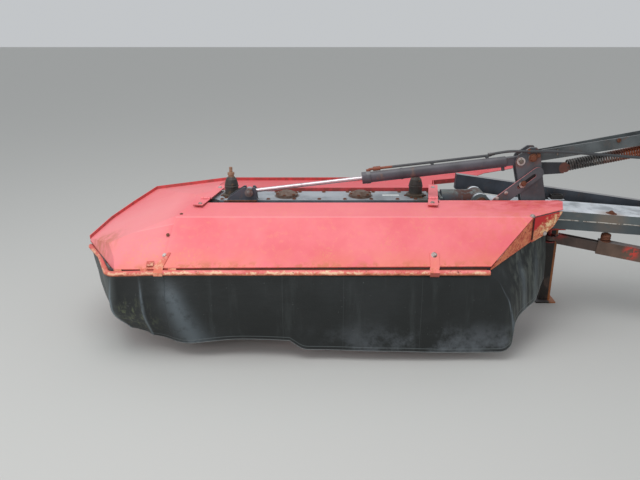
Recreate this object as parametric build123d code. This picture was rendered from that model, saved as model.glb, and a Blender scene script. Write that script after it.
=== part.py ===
"""Two-drum mower for a tractor's three-point linkage, parked on its skids and stands.

Row frame in millimetres: X along the mower from its outer end to the tractor's middle,
Y backwards (the tractor drives towards -Y), Z up, floor at Z = 0.
While modelling, X = 0 is midway between the two drums and Y = 0 is the gearcase's middle.
"""
import os
from math import atan2, cos, degrees, hypot, radians, sin, tan

from build123d import *

os.makedirs("parts", exist_ok=True)

# Mowing head
DRUM_PITCH = 1030.0
DISC_R = 465.0
CUT_R = DISC_R + 60.0
DRUM_R = 200.0
SKID_R = 330.0
SPINDLE_R = 45.0
RUN_FIT = 0.05
BEAM_TOP = 706.0
BEAM_H = 84.0
BEAM_HALF = 93.0
BEAM_LEFT = -625.0
BEAM_RIGHT = 642.0
AXES_X = (-DRUM_PITCH / 2, DRUM_PITCH / 2)

# Canopy: heights of the sheet at its inner edge, fold and rims
SHEET = 3.0
INNER_Y = -150.0
INNER_LEFT_Y = -185.0
INNER_Z = 722.0
LID_AXIS = (-142.0, 730.0)
STRAP_RIGHT_X = 585.0
FOLD_Y = -390.0
FOLD_Z = 706.0
RIM_Y = -585.0
RIM_Z = 507.0
REAR_Y = 600.0
REAR_Z = 645.0
REAR_RIGHT_Z = 735.0
REAR_TIP = 1240.0
RIM_R = 13.5
LIP = 20.0
CURTAIN_T = 6.0

# Lift hinge between head and arm, and the arm that descends from it
HINGE_X = 862.0
HINGE_Z = 692.0
HINGE_PIN_R = 25.0
ARM_TILT = 4.6
ARM_LEN = 1180.0
ARM_DROP = 5.0
ARM_H = 102.0
ARM_FRONT = -120.0
ARM_REAR = 110.0
ARM_END = HINGE_X + ARM_LEN
WALL = 8.0

# Lift cylinder
CYL_Y = -85.0
ROD_EYE = (-406.0, 756.0)
BARREL_PIN = (1052.0, 929.0)
BARREL_R = 29.0
ROD_R = 11.0
CYL_PIN_R = 12.5
BARREL_LEN = 845.0

# Upright, tie, lever and spring
TIE_PIN = (1112.0, 950.0)
TIE_TILT = 9.1
TIE_H = 58.0
LEVER_END = (1321.0, 877.0)
SPRING_R = 32.0
SPRING_Y = -28.0

# Headstock, swing post and three-point hitch
POST_X = ARM_END + 238.0
POST_R = 45.0
HITCH_X = POST_X - 20.0
HITCH_Y = -260.0
HITCH_Z = 490.0
HITCH_SPACING = 825.0
HITCH_BORE_R = 14.35
HITCH_AXIS_Y = -338.0
MAST_H = 610.0
TOP_BORE_R = 12.75
PTO_X = ARM_END + 83.0
PTO_Z = 640.0
PTO_R = 17.45

# Break-away strut
STRUT_EYE = (1300.0, 0.0, 462.0)
STRUT_ANCHOR = (POST_X - 230.0, -260.0, 382.0)
STRUT_PIN_R = 11.0

# Support leg at the arm and parking stand at the headstock
LEG_X = 1362.0
LEG_Y = 132.0
STAND_X = HITCH_X + 300.0
STAND_Y = -190.0


# Shapes
def box(x0, x1, y0, y1, z0, z1):
    return Pos((x0 + x1) / 2, (y0 + y1) / 2, (z0 + z1) / 2) * Box(x1 - x0, y1 - y0, z1 - z0)


def rod(axis, radius, length, at):
    turn = {"x": Rot(0, 90, 0), "y": Rot(-90, 0, 0), "z": Rot(0, 0, 0)}[axis]
    along = Cylinder(radius, length, align=(Align.CENTER, Align.CENTER, Align.MIN))
    return Pos(*at) * turn * along


def ring(axis, outer, inner, length, at):
    return rod(axis, outer, length, at) - rod(axis, inner, length, at)


def plan(points, z0, z1):
    outline = Polyline(*[(x, y, 0) for x, y in points], close=True)
    return Pos(0, 0, z0) * extrude(make_face(outline), z1 - z0)


def side(points, y0, y1):
    outline = Polyline(*[(x, z, 0) for x, z in points], close=True)
    return Pos(0, y1, 0) * Rot(90, 0, 0) * extrude(make_face(outline), y1 - y0)


def turned(points, at):
    outline = Polyline(*[(r, 0, z) for r, z in points], close=True)
    return Pos(*at) * revolve(make_face(outline), Axis.Z)


def group(*shapes):
    """Several pieces that don't touch, as one shape."""
    return Compound([solid for shape in shapes for solid in shape.solids()])


def pipe(points, radius, bend):
    path = FilletPolyline(*points, radius=bend) if len(points) > 2 else Polyline(*points)
    section = Plane(origin=path @ 0, z_dir=path % 0) * Circle(radius)
    return sweep(section, path=path)


def link(a, b, width, y0, y1):
    """Flat bar with round ends between two pins in the XZ plane."""
    (x0, z0), (x1, z1) = a, b
    length = hypot(x1 - x0, z1 - z0)
    flat = SlotCenterToCenter(length, width)
    bar = Pos(0, y1, 0) * Rot(90, 0, 0) * extrude(flat, y1 - y0)
    turn = Rot(0, -degrees(atan2(z1 - z0, x1 - x0)), 0)
    return Pos((x0 + x1) / 2, 0, (z0 + z1) / 2) * turn * bar


def wall(p0, p1, low0, low1, high0, high1, thick):
    """Upright plate on the line p0-p1 of the plan, its thickness to the left of the line."""
    length = hypot(p1[0] - p0[0], p1[1] - p0[1])
    plate = side([(0, low0), (length, low1), (length, high1), (0, high0)], 0, thick)
    return Pos(p0[0], p0[1], 0) * Rot(0, 0, degrees(atan2(p1[1] - p0[1], p1[0] - p0[0]))) * plate


def under(solid, three, lower=0.0):
    """What lies below the plane through three points, the plane lowered by a distance."""
    a, b, c = (Vector(*p) for p in three)
    normal = (b - a).cross(c - a).normalized()
    if normal.Z < 0:
        normal = normal * -1
    cut = Plane(origin=a - normal * lower, z_dir=normal)
    return split(solid, bisect_by=cut, keep=Keep.BOTTOM)


def height(three, x, y):
    """Height over a plan point of the plane through three points."""
    (x0, y0, z0), (x1, y1, z1), (x2, y2, z2) = three
    across = (x1 - x0) * (y2 - y0) - (x2 - x0) * (y1 - y0)
    a = ((x - x0) * (y2 - y0) - (x2 - x0) * (y - y0)) / across
    b = ((x1 - x0) * (y - y0) - (x - x0) * (y1 - y0)) / across
    return z0 + a * (z1 - z0) + b * (z2 - z0)


def roof(outline, planes, drop=0.0):
    """Sheet of even thickness under several sloping planes, trimmed to a plan outline."""
    outer = inner = plan(outline, 300, 900)
    for three in planes:
        outer = under(outer, three, drop)
        inner = under(inner, three, drop + SHEET)
    return outer - inner


def arm_frame(shape):
    """Puts a shape drawn along the arm, from the lift hinge, at its place."""
    return Pos(HINGE_X, 0, HINGE_Z) * Rot(0, ARM_TILT, 0) * shape


def arm_point(along, up):
    a = radians(ARM_TILT)
    return (HINGE_X + along * cos(a) + up * sin(a), HINGE_Z - along * sin(a) + up * cos(a))


# Gearcase across both drums, with its bolted lid, idler domes and round neck
def gearcase():
    low = BEAM_TOP - BEAM_H
    ends = [(BEAM_LEFT + 60, -BEAM_HALF + 14), (BEAM_RIGHT, -BEAM_HALF + 14),
            (BEAM_RIGHT, BEAM_HALF - 14), (BEAM_LEFT + 60, BEAM_HALF - 14),
            (BEAM_LEFT + 14, 40), (BEAM_LEFT + 14, -40)]
    case = plan(ends, low, BEAM_TOP - 16)
    lid = [(BEAM_LEFT + 52, -BEAM_HALF), (BEAM_RIGHT, -BEAM_HALF), (BEAM_RIGHT, BEAM_HALF),
           (BEAM_LEFT + 52, BEAM_HALF), (BEAM_LEFT, 44), (BEAM_LEFT, -44)]
    case += plan(lid, BEAM_TOP - 16, BEAM_TOP)
    for x in (-206, 206):
        case += Pos(x, 0, BEAM_TOP) * Cylinder(62, 14, align=(Align.CENTER, Align.CENTER, Align.MIN))
        case += Pos(x, 0, BEAM_TOP + 14) * Cone(54, 30, 14, align=(Align.CENTER, Align.CENTER, Align.MIN))
    return case


def gearcase_neck():
    neck = rod("x", 50, HINGE_X - 46 - BEAM_RIGHT, (BEAM_RIGHT + 16, 0, HINGE_Z))
    neck += box(BEAM_RIGHT, BEAM_RIGHT + 16, -80, 80, BEAM_TOP - BEAM_H, BEAM_TOP + 8)
    neck += rod("y", 47, 120, (HINGE_X, -60, HINGE_Z))
    return neck - rod("y", HINGE_PIN_R + RUN_FIT, 140, (HINGE_X, -70, HINGE_Z))


# Dome and nut over each drum's axle
def axle_cap(x):
    rows = [(0, 0), (50, 0), (50, 12), (37, 16), (37, 70), (30, 96), (16, 113), (16, 122),
            (19, 122), (19, 134), (9, 136), (9, 164), (0, 164)]
    return turned(rows, (x, 0, BEAM_TOP))


# Spindle below the gearcase: the drum runs on it, and the skid at its foot
def spindle(x):
    shaft = rod("z", SPINDLE_R, BEAM_TOP - BEAM_H - 30, (x, 0, 30))
    collar = rod("z", 85, 14, (x, 0, BEAM_TOP - BEAM_H - 14))
    return shaft + collar


# Drum: shell with shoulders, cutting disc and entraining ribs, open below its top plate
def drum(x):
    rows = [(SPINDLE_R + RUN_FIT, 600), (170, 600), (DRUM_R, 574), (DRUM_R, 330), (235, 230),
            (292, 150), (300, 108), (DISC_R, 100), (DISC_R, 94), (SPINDLE_R + RUN_FIT, 94),
            (SPINDLE_R + RUN_FIT, 106), (290, 106), (286, 148), (229, 226), (194, 328), (194, 570),
            (166, 590), (SPINDLE_R + RUN_FIT, 590)]
    body = turned(rows, (x, 0, 0))
    for turn in (0, 90, 180, 270):
        rib = side([(DRUM_R - 3, 560), (DRUM_R + 14, 556), (DRUM_R + 14, 330),
                    (250, 228), (304, 152), (300, 130), (286, 140), (228, 228), (DRUM_R - 3, 330)], -5, 5)
        body += Pos(x, 0, 0) * Rot(0, 0, turn + 45) * rib
    for turn in (0, 120, 240):
        holder = box(DISC_R - 60, DISC_R + 2, -26, 26, 86, 94)
        body += Pos(x, 0, 0) * Rot(0, 0, turn) * holder
    return body


def knives(x):
    blades = []
    for turn in (0, 120, 240):
        blade = plan([(DISC_R - 42, -21), (CUT_R, -21), (CUT_R, 21), (DISC_R - 42, 21)], 80, 84)
        bolt = rod("z", 9, 10, (DISC_R - 20, 0, 76)) + rod("z", 6, 6, (DISC_R - 20, 0, 80))
        blades.append(Pos(x, 0, 0) * Rot(0, 0, turn) * (blade + bolt))
    return group(*blades)


# Skid dish that the head slides on, turning freely on the spindle's foot
def skid(x):
    bore = SPINDLE_R + RUN_FIT
    rows = [(0, 0), (190, 0), (262, 14), (SKID_R, 52), (SKID_R, 58), (260, 20), (188, 6),
            (62, 6), (62, 72), (bore, 72), (bore, 29), (0, 29)]
    return turned(rows, (x, 0, 0))


# Canopy: plan outlines and sloping planes of its four sheets
LEFT_A = (-1031.0, -568.0)
LEFT_B = (-1262.0, -215.0)
LEFT_E = (-1230.0, 66.0)
LEFT_F = (-1154.0, 280.0)
LEFT_C = (-1062.0, 488.0)
LEFT_D = (-635.0, REAR_Y)
SEAM_TOP = (-706.0, -165.0)
SEAM_FOLD = (-748.0, FOLD_Y)
SEAM_RIM = (-792.0, RIM_Y)
CORNER_RIM = (815.0, RIM_Y + 6)
CORNER_MID = (1062.0, FOLD_Y)
CORNER_TIP = (1243.0, -287.0)
CORNER_CUT = (1284.0, -168.0)
CORNER_END = (1264.0, INNER_Y)
TOP_PLANE = ((0, INNER_Y, INNER_Z), (100, INNER_Y, INNER_Z), (0, FOLD_Y, FOLD_Z))
FRONT_PLANE = ((0, FOLD_Y, FOLD_Z), (100, FOLD_Y, FOLD_Z), (0, RIM_Y, RIM_Z))
REAR_PLANE = ((-635, 115, INNER_Z - 10), (-635, REAR_Y, REAR_Z), (250, REAR_Y, REAR_Z))
REAR_RIGHT_PLANE = ((250, REAR_Y, REAR_Z), (1030, REAR_Y, REAR_RIGHT_Z), (620, 115, INNER_Z - 10))
OVERLAP = 30.0
LEFT_MAIN = ((-700.0, -178.0, INNER_Z), (*LEFT_C, 616.0), (-1250.0, -220.0, 534.0))
LEFT_FRONT = ((SEAM_FOLD[0] + OVERLAP, FOLD_Y, FOLD_Z), (SEAM_RIM[0] + OVERLAP, RIM_Y, RIM_Z), (*LEFT_A, 498.0))


def front_guard():
    step = STRAP_RIGHT_X + 34
    outline = [(SEAM_TOP[0], INNER_LEFT_Y), SEAM_FOLD, SEAM_RIM, CORNER_RIM, CORNER_MID, CORNER_TIP, CORNER_CUT,
               CORNER_END, (step, INNER_Y), (step, INNER_LEFT_Y)]
    sheet = roof(outline, [TOP_PLANE, FRONT_PLANE])
    # Stiffening flanges turned down along the inner edge
    sheet += box(SEAM_TOP[0] + 60, step, INNER_LEFT_Y - SHEET, INNER_LEFT_Y, INNER_Z - 22, INNER_Z - 4)
    sheet += box(step, CORNER_END[0] - 8, INNER_Y - SHEET, INNER_Y, INNER_Z - 20, INNER_Z - 1)
    return sheet


def side_flange():
    """Turned-down side along the stepped right end, in two plates."""
    first = wall(CORNER_RIM, CORNER_MID, RIM_Z - 14, 580, RIM_Z - 6, FOLD_Z - 5, SHEET)
    second = wall(CORNER_MID, CORNER_TIP, 580, 640, FOLD_Z - 5, INNER_Z - 16, SHEET)
    third = wall(CORNER_TIP, CORNER_CUT, 640, 668, INNER_Z - 16, INNER_Z - 7, SHEET)
    return first + second + third


def left_guard():
    tuck = OVERLAP
    outline = [(SEAM_TOP[0] + tuck + 30, -100), (SEAM_TOP[0] + tuck, SEAM_TOP[1]),
               (SEAM_FOLD[0] + tuck, FOLD_Y), (SEAM_RIM[0] + tuck, RIM_Y),
               LEFT_A, LEFT_B, LEFT_E, LEFT_F, LEFT_C, LEFT_D, (-645, 60), (-655, -60)]
    rear = ((*LEFT_C, 616), (-635, REAR_Y, REAR_Z), (-635, 115, INNER_Z - 10))
    soft = [(x, y, (height(LEFT_MAIN, x, y) + height(LEFT_FRONT, x, y)) / 2 - 26)
            for x, y in ((-750, -380), (-1050, -450), (-900, -300))]
    nose = ((*LEFT_A, 498), (*LEFT_B, height(LEFT_MAIN, *LEFT_B)), (-1054, -494, 566))
    flat = ((0, 0, INNER_Z), (100, 0, INNER_Z), (0, 100, INNER_Z))
    sheet = roof(outline, [TOP_PLANE, flat, LEFT_FRONT, LEFT_MAIN, soft, rear, nose], drop=SHEET + 1.0)
    edge = [LEFT_B, LEFT_E, LEFT_F, LEFT_C]
    for start, end in zip(edge, edge[1:]):
        sheet += lip(start, end, height(LEFT_MAIN, *start) - 5, height(LEFT_MAIN, *end) - 5)
    return sheet + lip(LEFT_C, LEFT_D, 611, REAR_Z - 5)


def rear_guard():
    crease_in = (620, 115)
    crease_out = (250, REAR_Y)
    left_part = [(-634, 115), crease_in, crease_out, (-634, REAR_Y)]
    right_part = [crease_in, (640, 115), (660, 262), (880, 300), (1000, 405),
                  (1180, 450), (REAR_TIP, 520), (REAR_TIP, REAR_Y), crease_out]
    sheet = roof(left_part, [REAR_PLANE], drop=SHEET + 1.0)
    sheet += roof(right_part, [REAR_RIGHT_PLANE], drop=SHEET + 1.0)
    # Inner flange turned up along the gearcase, stepping back past the rear arm
    sheet += wall((-560, 112), (640, 112), 698, 698, 722, 722, SHEET)
    sheet += wall((640, 112), (662, 262), 698, 700, 722, 728, SHEET)
    sheet += wall((655, 261), (880, 300), 700, 712, 728, 738, SHEET)
    tip = height(REAR_RIGHT_PLANE, REAR_TIP, REAR_Y)
    sheet += lip((-634, REAR_Y), crease_out, REAR_Z - 5, REAR_Z - 5)
    sheet += lip(crease_out, (REAR_TIP, REAR_Y), REAR_Z - 5, tip - 5)
    return sheet


def lip(start, end, z0, z1):
    """Upturned lip along an outer edge, from the sheet's height at each end."""
    length = hypot(end[0] - start[0], end[1] - start[1])
    inward = ((end[1] - start[1]) / length * 1.7, (start[0] - end[0]) / length * 1.7)
    foot = (start[0] + inward[0], start[1] + inward[1])
    tip = (end[0] + inward[0], end[1] + inward[1])
    return wall(foot, tip, z0 - 2.3, z1 - 2.3, z0 + LIP, z1 + LIP, SHEET)


def strap(start, end):
    """Flat bar of the canopy's strap hinges, lying on top of the sheets' level."""
    length = hypot(end[0] - start[0], end[1] - start[1])
    flat = box(0, length, -26, 26, LID_AXIS[1] - 6, LID_AXIS[1])
    return Pos(start[0], start[1], 0) * Rot(0, 0, degrees(atan2(end[1] - start[1], end[0] - start[0]))) * flat


STRAPS = [  # front end and rear end of each strap hinge, plan
    ((-660.0, -262.0), (-586.0, 140.0)),
    ((STRAP_RIGHT_X - 14, -262.0), (STRAP_RIGHT_X + 55, 150.0)),
]


def strap_at(row, y):
    (x0, y0), (x1, y1) = STRAPS[row]
    return (x0 + (x1 - x0) * (y - y0) / (y1 - y0), y)


def strap_hinges():
    """Fixed leaves over the gearcase, with their pins, from the rear sheet to the lid's axis."""
    leaves = []
    for row in (0, 1):
        hub_x = strap_at(row, LID_AXIS[0])[0]
        leaf = strap(strap_at(row, LID_AXIS[0] + 12), STRAPS[row][1])
        leaf += rod("z", 9, LID_AXIS[1] - BEAM_TOP - 1, (*strap_at(row, -66), BEAM_TOP))
        leaf += rod("z", 9, LID_AXIS[1] - BEAM_TOP - 1, (*strap_at(row, 70), BEAM_TOP))
        leaf -= rod("x", 14, 120, (hub_x - 60, LID_AXIS[0], LID_AXIS[1]))
        leaf += rod("x", 9, 18, (hub_x - 9, LID_AXIS[0], LID_AXIS[1]))
        leaf += box(hub_x - 9, hub_x + 9, LID_AXIS[0], LID_AXIS[0] + 20, LID_AXIS[1] - 6, LID_AXIS[1])
        leaf += rod("x", 5, 52, (hub_x - 26, LID_AXIS[0], LID_AXIS[1]))
        leaves.append(leaf)
    return group(*leaves)


def lid_leaves():
    """Moving leaves, bolted on the front sheet."""
    leaves = []
    for row in (0, 1):
        hub_x = strap_at(row, LID_AXIS[0])[0]
        leaf = strap(STRAPS[row][0], strap_at(row, LID_AXIS[0] - 12))
        leaf -= rod("x", 14, 120, (hub_x - 60, LID_AXIS[0], LID_AXIS[1]))
        for side_x in (-24, 10):
            leaf += rod("x", 9, 14, (hub_x + side_x, LID_AXIS[0], LID_AXIS[1]))
            leaf += box(hub_x + side_x, hub_x + side_x + 14, LID_AXIS[0] - 22, LID_AXIS[0],
                        LID_AXIS[1] - 6, LID_AXIS[1])
        leaf -= rod("x", 5 + RUN_FIT, 80, (hub_x - 40, LID_AXIS[0], LID_AXIS[1]))
        x, y = strap_at(row, -215)
        seat = INNER_Z + (y - INNER_Y) * (INNER_Z - FOLD_Z) / (INNER_Y - FOLD_Y)
        leaf += rod("z", 9, LID_AXIS[1] - 1 - seat, (x, y, seat + 0.6))
        leaves.append(leaf)
    return group(*leaves)


def rim_tube_front():
    tube = pipe([(SEAM_RIM[0] + 8, RIM_Y - 12, RIM_Z - 22), (CORNER_RIM[0] - 8, RIM_Y - 12, RIM_Z - 22)], RIM_R, 30)
    # Hanging tabs that clamp the tube to the sheet
    for x in (-740, STRAP_RIGHT_X - 50):
        tube += box(x - 20, x + 20, RIM_Y - 5.3, RIM_Y - 0.3, RIM_Z - 30, RIM_Z - 1)
    return tube


def rim_tube_left():
    points = [(SEAM_RIM[0] - 6, RIM_Y - 12, RIM_Z - 22), (-1062, RIM_Y + 2, RIM_Z - 34),
              (-1163, -366, 480), (-1260, -222, 485)]
    tube = pipe(points, RIM_R, 55)
    slope = (LEFT_A[1] - RIM_Y) / (LEFT_A[0] - SEAM_RIM[0] - OVERLAP)
    for x in (-880, -1010):
        y = RIM_Y + slope * (x - SEAM_RIM[0] - OVERLAP) - 0.3
        top = height(LEFT_FRONT, x, y) - 5
        tube += wall((x + 18, y - 18 * slope * -1), (x - 18, y - 18 * slope), RIM_Z - 40, RIM_Z - 40, top, top, 4)
    return tube


# Curtain panels, plain here: their folds hang from the same edges
CURTAIN_TOP = RIM_Z - 36.0
CURTAIN_SPLIT = -168.0


def sheet_body(rows, thick=CURTAIN_T):
    """Closed thin body over rows of points, each row from the top edge down to the hem."""
    back = []
    for i, row in enumerate(rows):
        before, after = rows[max(i - 1, 0)][0], rows[min(i + 1, len(rows) - 1)][0]
        dx, dy = after[0] - before[0], after[1] - before[1]
        span = hypot(dx, dy)
        back.append([(x - dy / span * thick, y + dx / span * thick, z) for x, y, z in row])
    levels = len(rows[0])
    quads = []
    for i in range(len(rows) - 1):
        for j in range(levels - 1):
            quads.append((rows[i][j], rows[i + 1][j], rows[i + 1][j + 1], rows[i][j + 1]))
            quads.append((back[i][j], back[i][j + 1], back[i + 1][j + 1], back[i + 1][j]))
        for j in (0, levels - 1):
            quads.append((rows[i][j], rows[i + 1][j], back[i + 1][j], back[i][j]))
    for i in (0, len(rows) - 1):
        for j in range(levels - 1):
            quads.append((rows[i][j], rows[i][j + 1], back[i][j + 1], back[i][j]))
    faces = []
    for a, b, c, d in quads:
        faces.append(Face(Wire.make_polygon([a, b, c], close=True)))
        faces.append(Face(Wire.make_polygon([a, c, d], close=True)))
    return Solid(Shell(faces))


def curtain_front_left():
    y = RIM_Y - 15
    rows = [  # x at the top; x, y and z halfway down; x, y and z at the hem
        (SEAM_RIM[0] + 6, -783, -586, 290, -780, -530, 86),
        (-716, -716, -588, 290, -714, -546, 84),
        (-430, -430, -592, 290, -429, -560, 109),
        (CURTAIN_SPLIT - 1, CURTAIN_SPLIT - 1, -595, 290, CURTAIN_SPLIT - 1, -571, 112),
    ]
    return sheet_body([[(x, y, CURTAIN_TOP), middle[:3], middle[3:]] for x, *middle in rows])


def curtain_front_right():
    y = RIM_Y - 15
    rows = [
        (CURTAIN_SPLIT + 1, CURTAIN_SPLIT + 1, -597, 290, CURTAIN_SPLIT + 1, -577, 98),
        (-100, -100, -598, 290, -98, -592, 66),
        (385, 386, -600, 290, 387, -602, 57),
        (CORNER_RIM[0] - 6, 850, -604, 330, 870, -610, 46),
        (CORNER_RIM[0] + 2, 913, -598, 375, 955, -594, 56),
    ]
    return sheet_body([[(x, y, CURTAIN_TOP), middle[:3], middle[3:]] for x, *middle in rows])


def curtain_left():
    return sheet_body([
        [(-1256, -226, 464), (-1205, -232, 240), (-1125, -246, 80)],
        [(-1149, -401, 456), (-1128, -386, 250), (-1082, -336, 92)],
        [(-1070, -591, 452), (-1058, -560, 280), (-1010, -398, 97)],
        [(-940, -597, 462), (-930, -576, 290), (-908, -452, 97)],
        [(SEAM_RIM[0] + 2, RIM_Y - 15, CURTAIN_TOP), (-787, -586, 290), (-784, -528, 86)],
    ])


def curtain_right():
    """Hangs behind the side flange, and flares out below it."""
    rows = [  # the flange's corner and its lower edge there, then halfway down and the hem
        (CORNER_RIM, RIM_Z - 14, (917, -584, 378), (959, -578, 165)),
        (CORNER_MID, 580, (1076, -420, 400), (1083, -445, 190)),
        ((1150, -340), 609, (1166, -337, 404), (1168, -337, 262)),
    ]
    return sheet_body([[(x - 1.9, y + 2.65, z + 14), (x - 1.9, y + 2.65, z - 12), middle, hem]
                       for (x, y), z, middle, hem in rows])


# Bracket on the gearcase for the cylinder's rod eye, its jaws open upwards
def rod_bracket():
    x, z = ROD_EYE
    base = box(x - 120, x + 44, CYL_Y - 30, CYL_Y + 28, BEAM_TOP, BEAM_TOP + 10)
    plates = None
    for y0 in (CYL_Y - 26, CYL_Y + 16):
        outline = [(x - 118, BEAM_TOP + 10), (x + 42, BEAM_TOP + 10), (x + 40, z + 12),
                   (x + 30, z + 26), (x - 30, z + 26), (x - 112, BEAM_TOP + 22)]
        plate = side(outline, y0, y0 + 10)
        mouth = side([(x - CYL_PIN_R - 1, z), (x - CYL_PIN_R - 9, z + 40), (x + CYL_PIN_R + 9, z + 40),
                      (x + CYL_PIN_R + 1, z)], y0 - 1, y0 + 11)
        plate -= mouth
        plate -= rod("y", CYL_PIN_R + 1, 12, (x, y0 - 1, z))
        plates = plate if plates is None else plates + plate
    return base + plates


# Lift cylinder, drawn along its own line and then laid between its two pins
CYL_LEN = hypot(BARREL_PIN[0] - ROD_EYE[0], BARREL_PIN[1] - ROD_EYE[1])
CYL_ANGLE = degrees(atan2(BARREL_PIN[1] - ROD_EYE[1], BARREL_PIN[0] - ROD_EYE[0]))


def cylinder_frame(shape):
    """Puts a shape drawn from the rod's eye along +X onto the cylinder's line."""
    return Pos(ROD_EYE[0], CYL_Y, ROD_EYE[1]) * Rot(0, -CYL_ANGLE, 0) * shape


def lift_barrel():
    front = CYL_LEN - BARREL_LEN
    tube = ring("x", BARREL_R, BARREL_R - 5, BARREL_LEN - 80, (front, 0, 0))
    tube += ring("x", BARREL_R + 3, ROD_R + 0.05, 26, (front - 4, 0, 0))
    tube += rod("x", BARREL_R, 16, (CYL_LEN - 90, 0, 0))
    tube += box(CYL_LEN - 80, CYL_LEN - 16, -17, 17, -22, 22)
    tube += rod("y", 24, 34, (CYL_LEN, -17, 0))
    tube += rod("z", 9, 26, (CYL_LEN - 88, 0, -48))
    tube += ring("x", BARREL_R + 2, BARREL_R - 2, 12, (CYL_LEN - 640, 0, 0))
    return cylinder_frame(tube - rod("y", CYL_PIN_R + RUN_FIT, 40, (CYL_LEN, -20, 0)))


def lift_pipe():
    """Steel pipe clipped along the barrel's back, from its front port to its rear end."""
    front = CYL_LEN - BARREL_LEN
    height = BARREL_R + 12
    line = [(front + 34, 12, BARREL_R + 0.4), (front + 34, 12, height), (CYL_LEN - 150, 12, height)]
    run = pipe(line, 7, 10)
    run += rod("z", 12, 12, (front + 34, 12, BARREL_R + 0.4))
    run += rod("x", 12, 40, (front + 60, 12, height))
    for along in (0.45, 0.8):
        run += box(front + along * BARREL_LEN - 8, front + along * BARREL_LEN + 8, 2, 22, BARREL_R + 0.3, height)
    return cylinder_frame(run)


def lift_rod():
    bar = rod("x", ROD_R, CYL_LEN - BARREL_LEN + 270, (20, 0, 0))
    bar += rod("y", 22, 28, (0, -14, 0))
    bar += rod("x", BARREL_R - 5.05, 20, (CYL_LEN - BARREL_LEN + 290, 0, 0))
    return cylinder_frame(bar - rod("y", CYL_PIN_R, 30, (0, -15, 0)))


def rod_pin():
    pin = rod("y", CYL_PIN_R, 84, (ROD_EYE[0], CYL_Y - 38, ROD_EYE[1]))
    head = ring("y", 19, CYL_PIN_R - 2, 5, (ROD_EYE[0], CYL_Y - 38, ROD_EYE[1]))
    return pin + head


# Main arm: box section with two cheeks that hold the lift hinge's pin
def main_arm():
    top = -ARM_DROP
    low = -ARM_DROP - ARM_H
    tube = box(68, ARM_LEN, ARM_FRONT, ARM_REAR, low, top)
    tube -= box(68 + WALL, ARM_LEN - WALL, ARM_FRONT + WALL, ARM_REAR - WALL, low + WALL, top - WALL)
    for y0 in (-83.0, 63.0):
        cheek = side([(10, -46), (80, low), (80, top), (20, 44), (-10, 44)], y0, y0 + 20)
        cheek = cheek - box(68 + WALL, 200, y0 - 1, y0 + 21, low, top)
        cheek += rod("y", 47, 20, (0, y0, 0))
        tube += cheek - box(68 + WALL - 1, 200, y0 - 1, y0 + 21, low - 10, top + 10)
    tube -= rod("y", HINGE_PIN_R + 0.1, 200, (0, -100, 0))
    return arm_frame(tube)


def hinge_pin():
    pin = rod("y", HINGE_PIN_R, 316, (HINGE_X, -98, HINGE_Z))
    head = rod("y", 34, 8, (HINGE_X, -106, HINGE_Z))
    nut = rod("y", 36, 12, (HINGE_X, 202, HINGE_Z))
    return pin + head + nut


# Rear arm: flat-sided beam behind the main arm, from the hinge pin to the swing frame
REAR_ARM = ((776.0, 790.0), (ARM_END + 8, 604.0))
REAR_ARM_H = 88.0
REAR_ARM_Y = (160.0, 200.0)


def rear_arm():
    (x0, z0), (x1, z1) = REAR_ARM
    y0, y1 = REAR_ARM_Y
    beam = side([(x0 - 4, z0 - REAR_ARM_H), (x1, z1 - REAR_ARM_H), (x1, z1), (x0, z0)], y0, y1)
    hollow = side([(940, 686), (x1 - 8, z1 - REAR_ARM_H + 8), (x1 - 8, z1 - 8), (940, 756)], y0 + 8, y1 - 8)
    beam -= hollow
    beam += side([(HINGE_X - 60, 706), (HINGE_X - 46, HINGE_Z), (HINGE_X, HINGE_Z), (HINGE_X + 46, HINGE_Z),
                  (HINGE_X + 110, 700)], y0, y1)
    beam += rod("y", 46, y1 - y0, (HINGE_X, y0, HINGE_Z))
    return beam - rod("y", HINGE_PIN_R + 0.1, 60, (HINGE_X, y0 - 10, HINGE_Z))


# Upright: two plates on the arm that carry the cylinder, tie, lever and strut
UPRIGHT_FRONT = (-120.0, -108.0)
UPRIGHT_REAR = (-62.0, -50.0)


def upright(y0, y1):
    foot_left = arm_point(228, -ARM_DROP)
    foot_right = arm_point(360, -ARM_DROP)
    outline = [foot_left, foot_right, (1166, 900), (1150, 980), (1128, 1004), (1096, 1004), (1036, 962), (1022, 925)]
    plate = side(outline, y0, y1)
    for x, z in (BARREL_PIN, TIE_PIN):
        plate -= rod("y", CYL_PIN_R, y1 - y0 + 2, (x, y0 - 1, z))
    return plate


def upright_pin(point, y0, y1):
    x, z = point
    pin = rod("y", CYL_PIN_R, y1 - y0, (x, y0, z))
    washer = ring("y", 22, CYL_PIN_R, 4, (x, UPRIGHT_FRONT[0] - 4, z))
    return pin + washer


def upright_spacer():
    """Tube between the plates, welded into both."""
    return rod("y", 16, UPRIGHT_REAR[0] - UPRIGHT_FRONT[1], (1150, UPRIGHT_FRONT[1], 800))


def slotted_strut():
    y0, y1 = -132.0, -124.5
    low, high = (944.0, 703.0), (1146.0, 868.0)
    bar = link(low, high, 62, y0, y1)
    slot_a, slot_b = (1052.0, 791.0), (1128.0, 853.0)
    bar -= link(slot_a, slot_b, 20, y0 - 1, y1 + 1)
    return bar


def strut_bolt():
    x, z = 1068.0, 804.0
    return rod("y", 8, 18, (x, -138, z)) + rod("y", 17, 5, (x, -137.3, z))


def strut_foot():
    """Block on the arm's end that the slotted strut's lower end is bolted to."""
    return box(932, 968, -124, ARM_FRONT + 20, 640, 722)


def lever():
    x, z = LEVER_END
    bar = side([(1100, 834), (1180, 838), (x - 6, z - 30), (x + 4, z + 30), (1180, 908), (1100, 896)], -49.7, -37.7)
    boss = rod("y", 25, 30, (x, -49.7, z))
    return bar + boss


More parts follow.
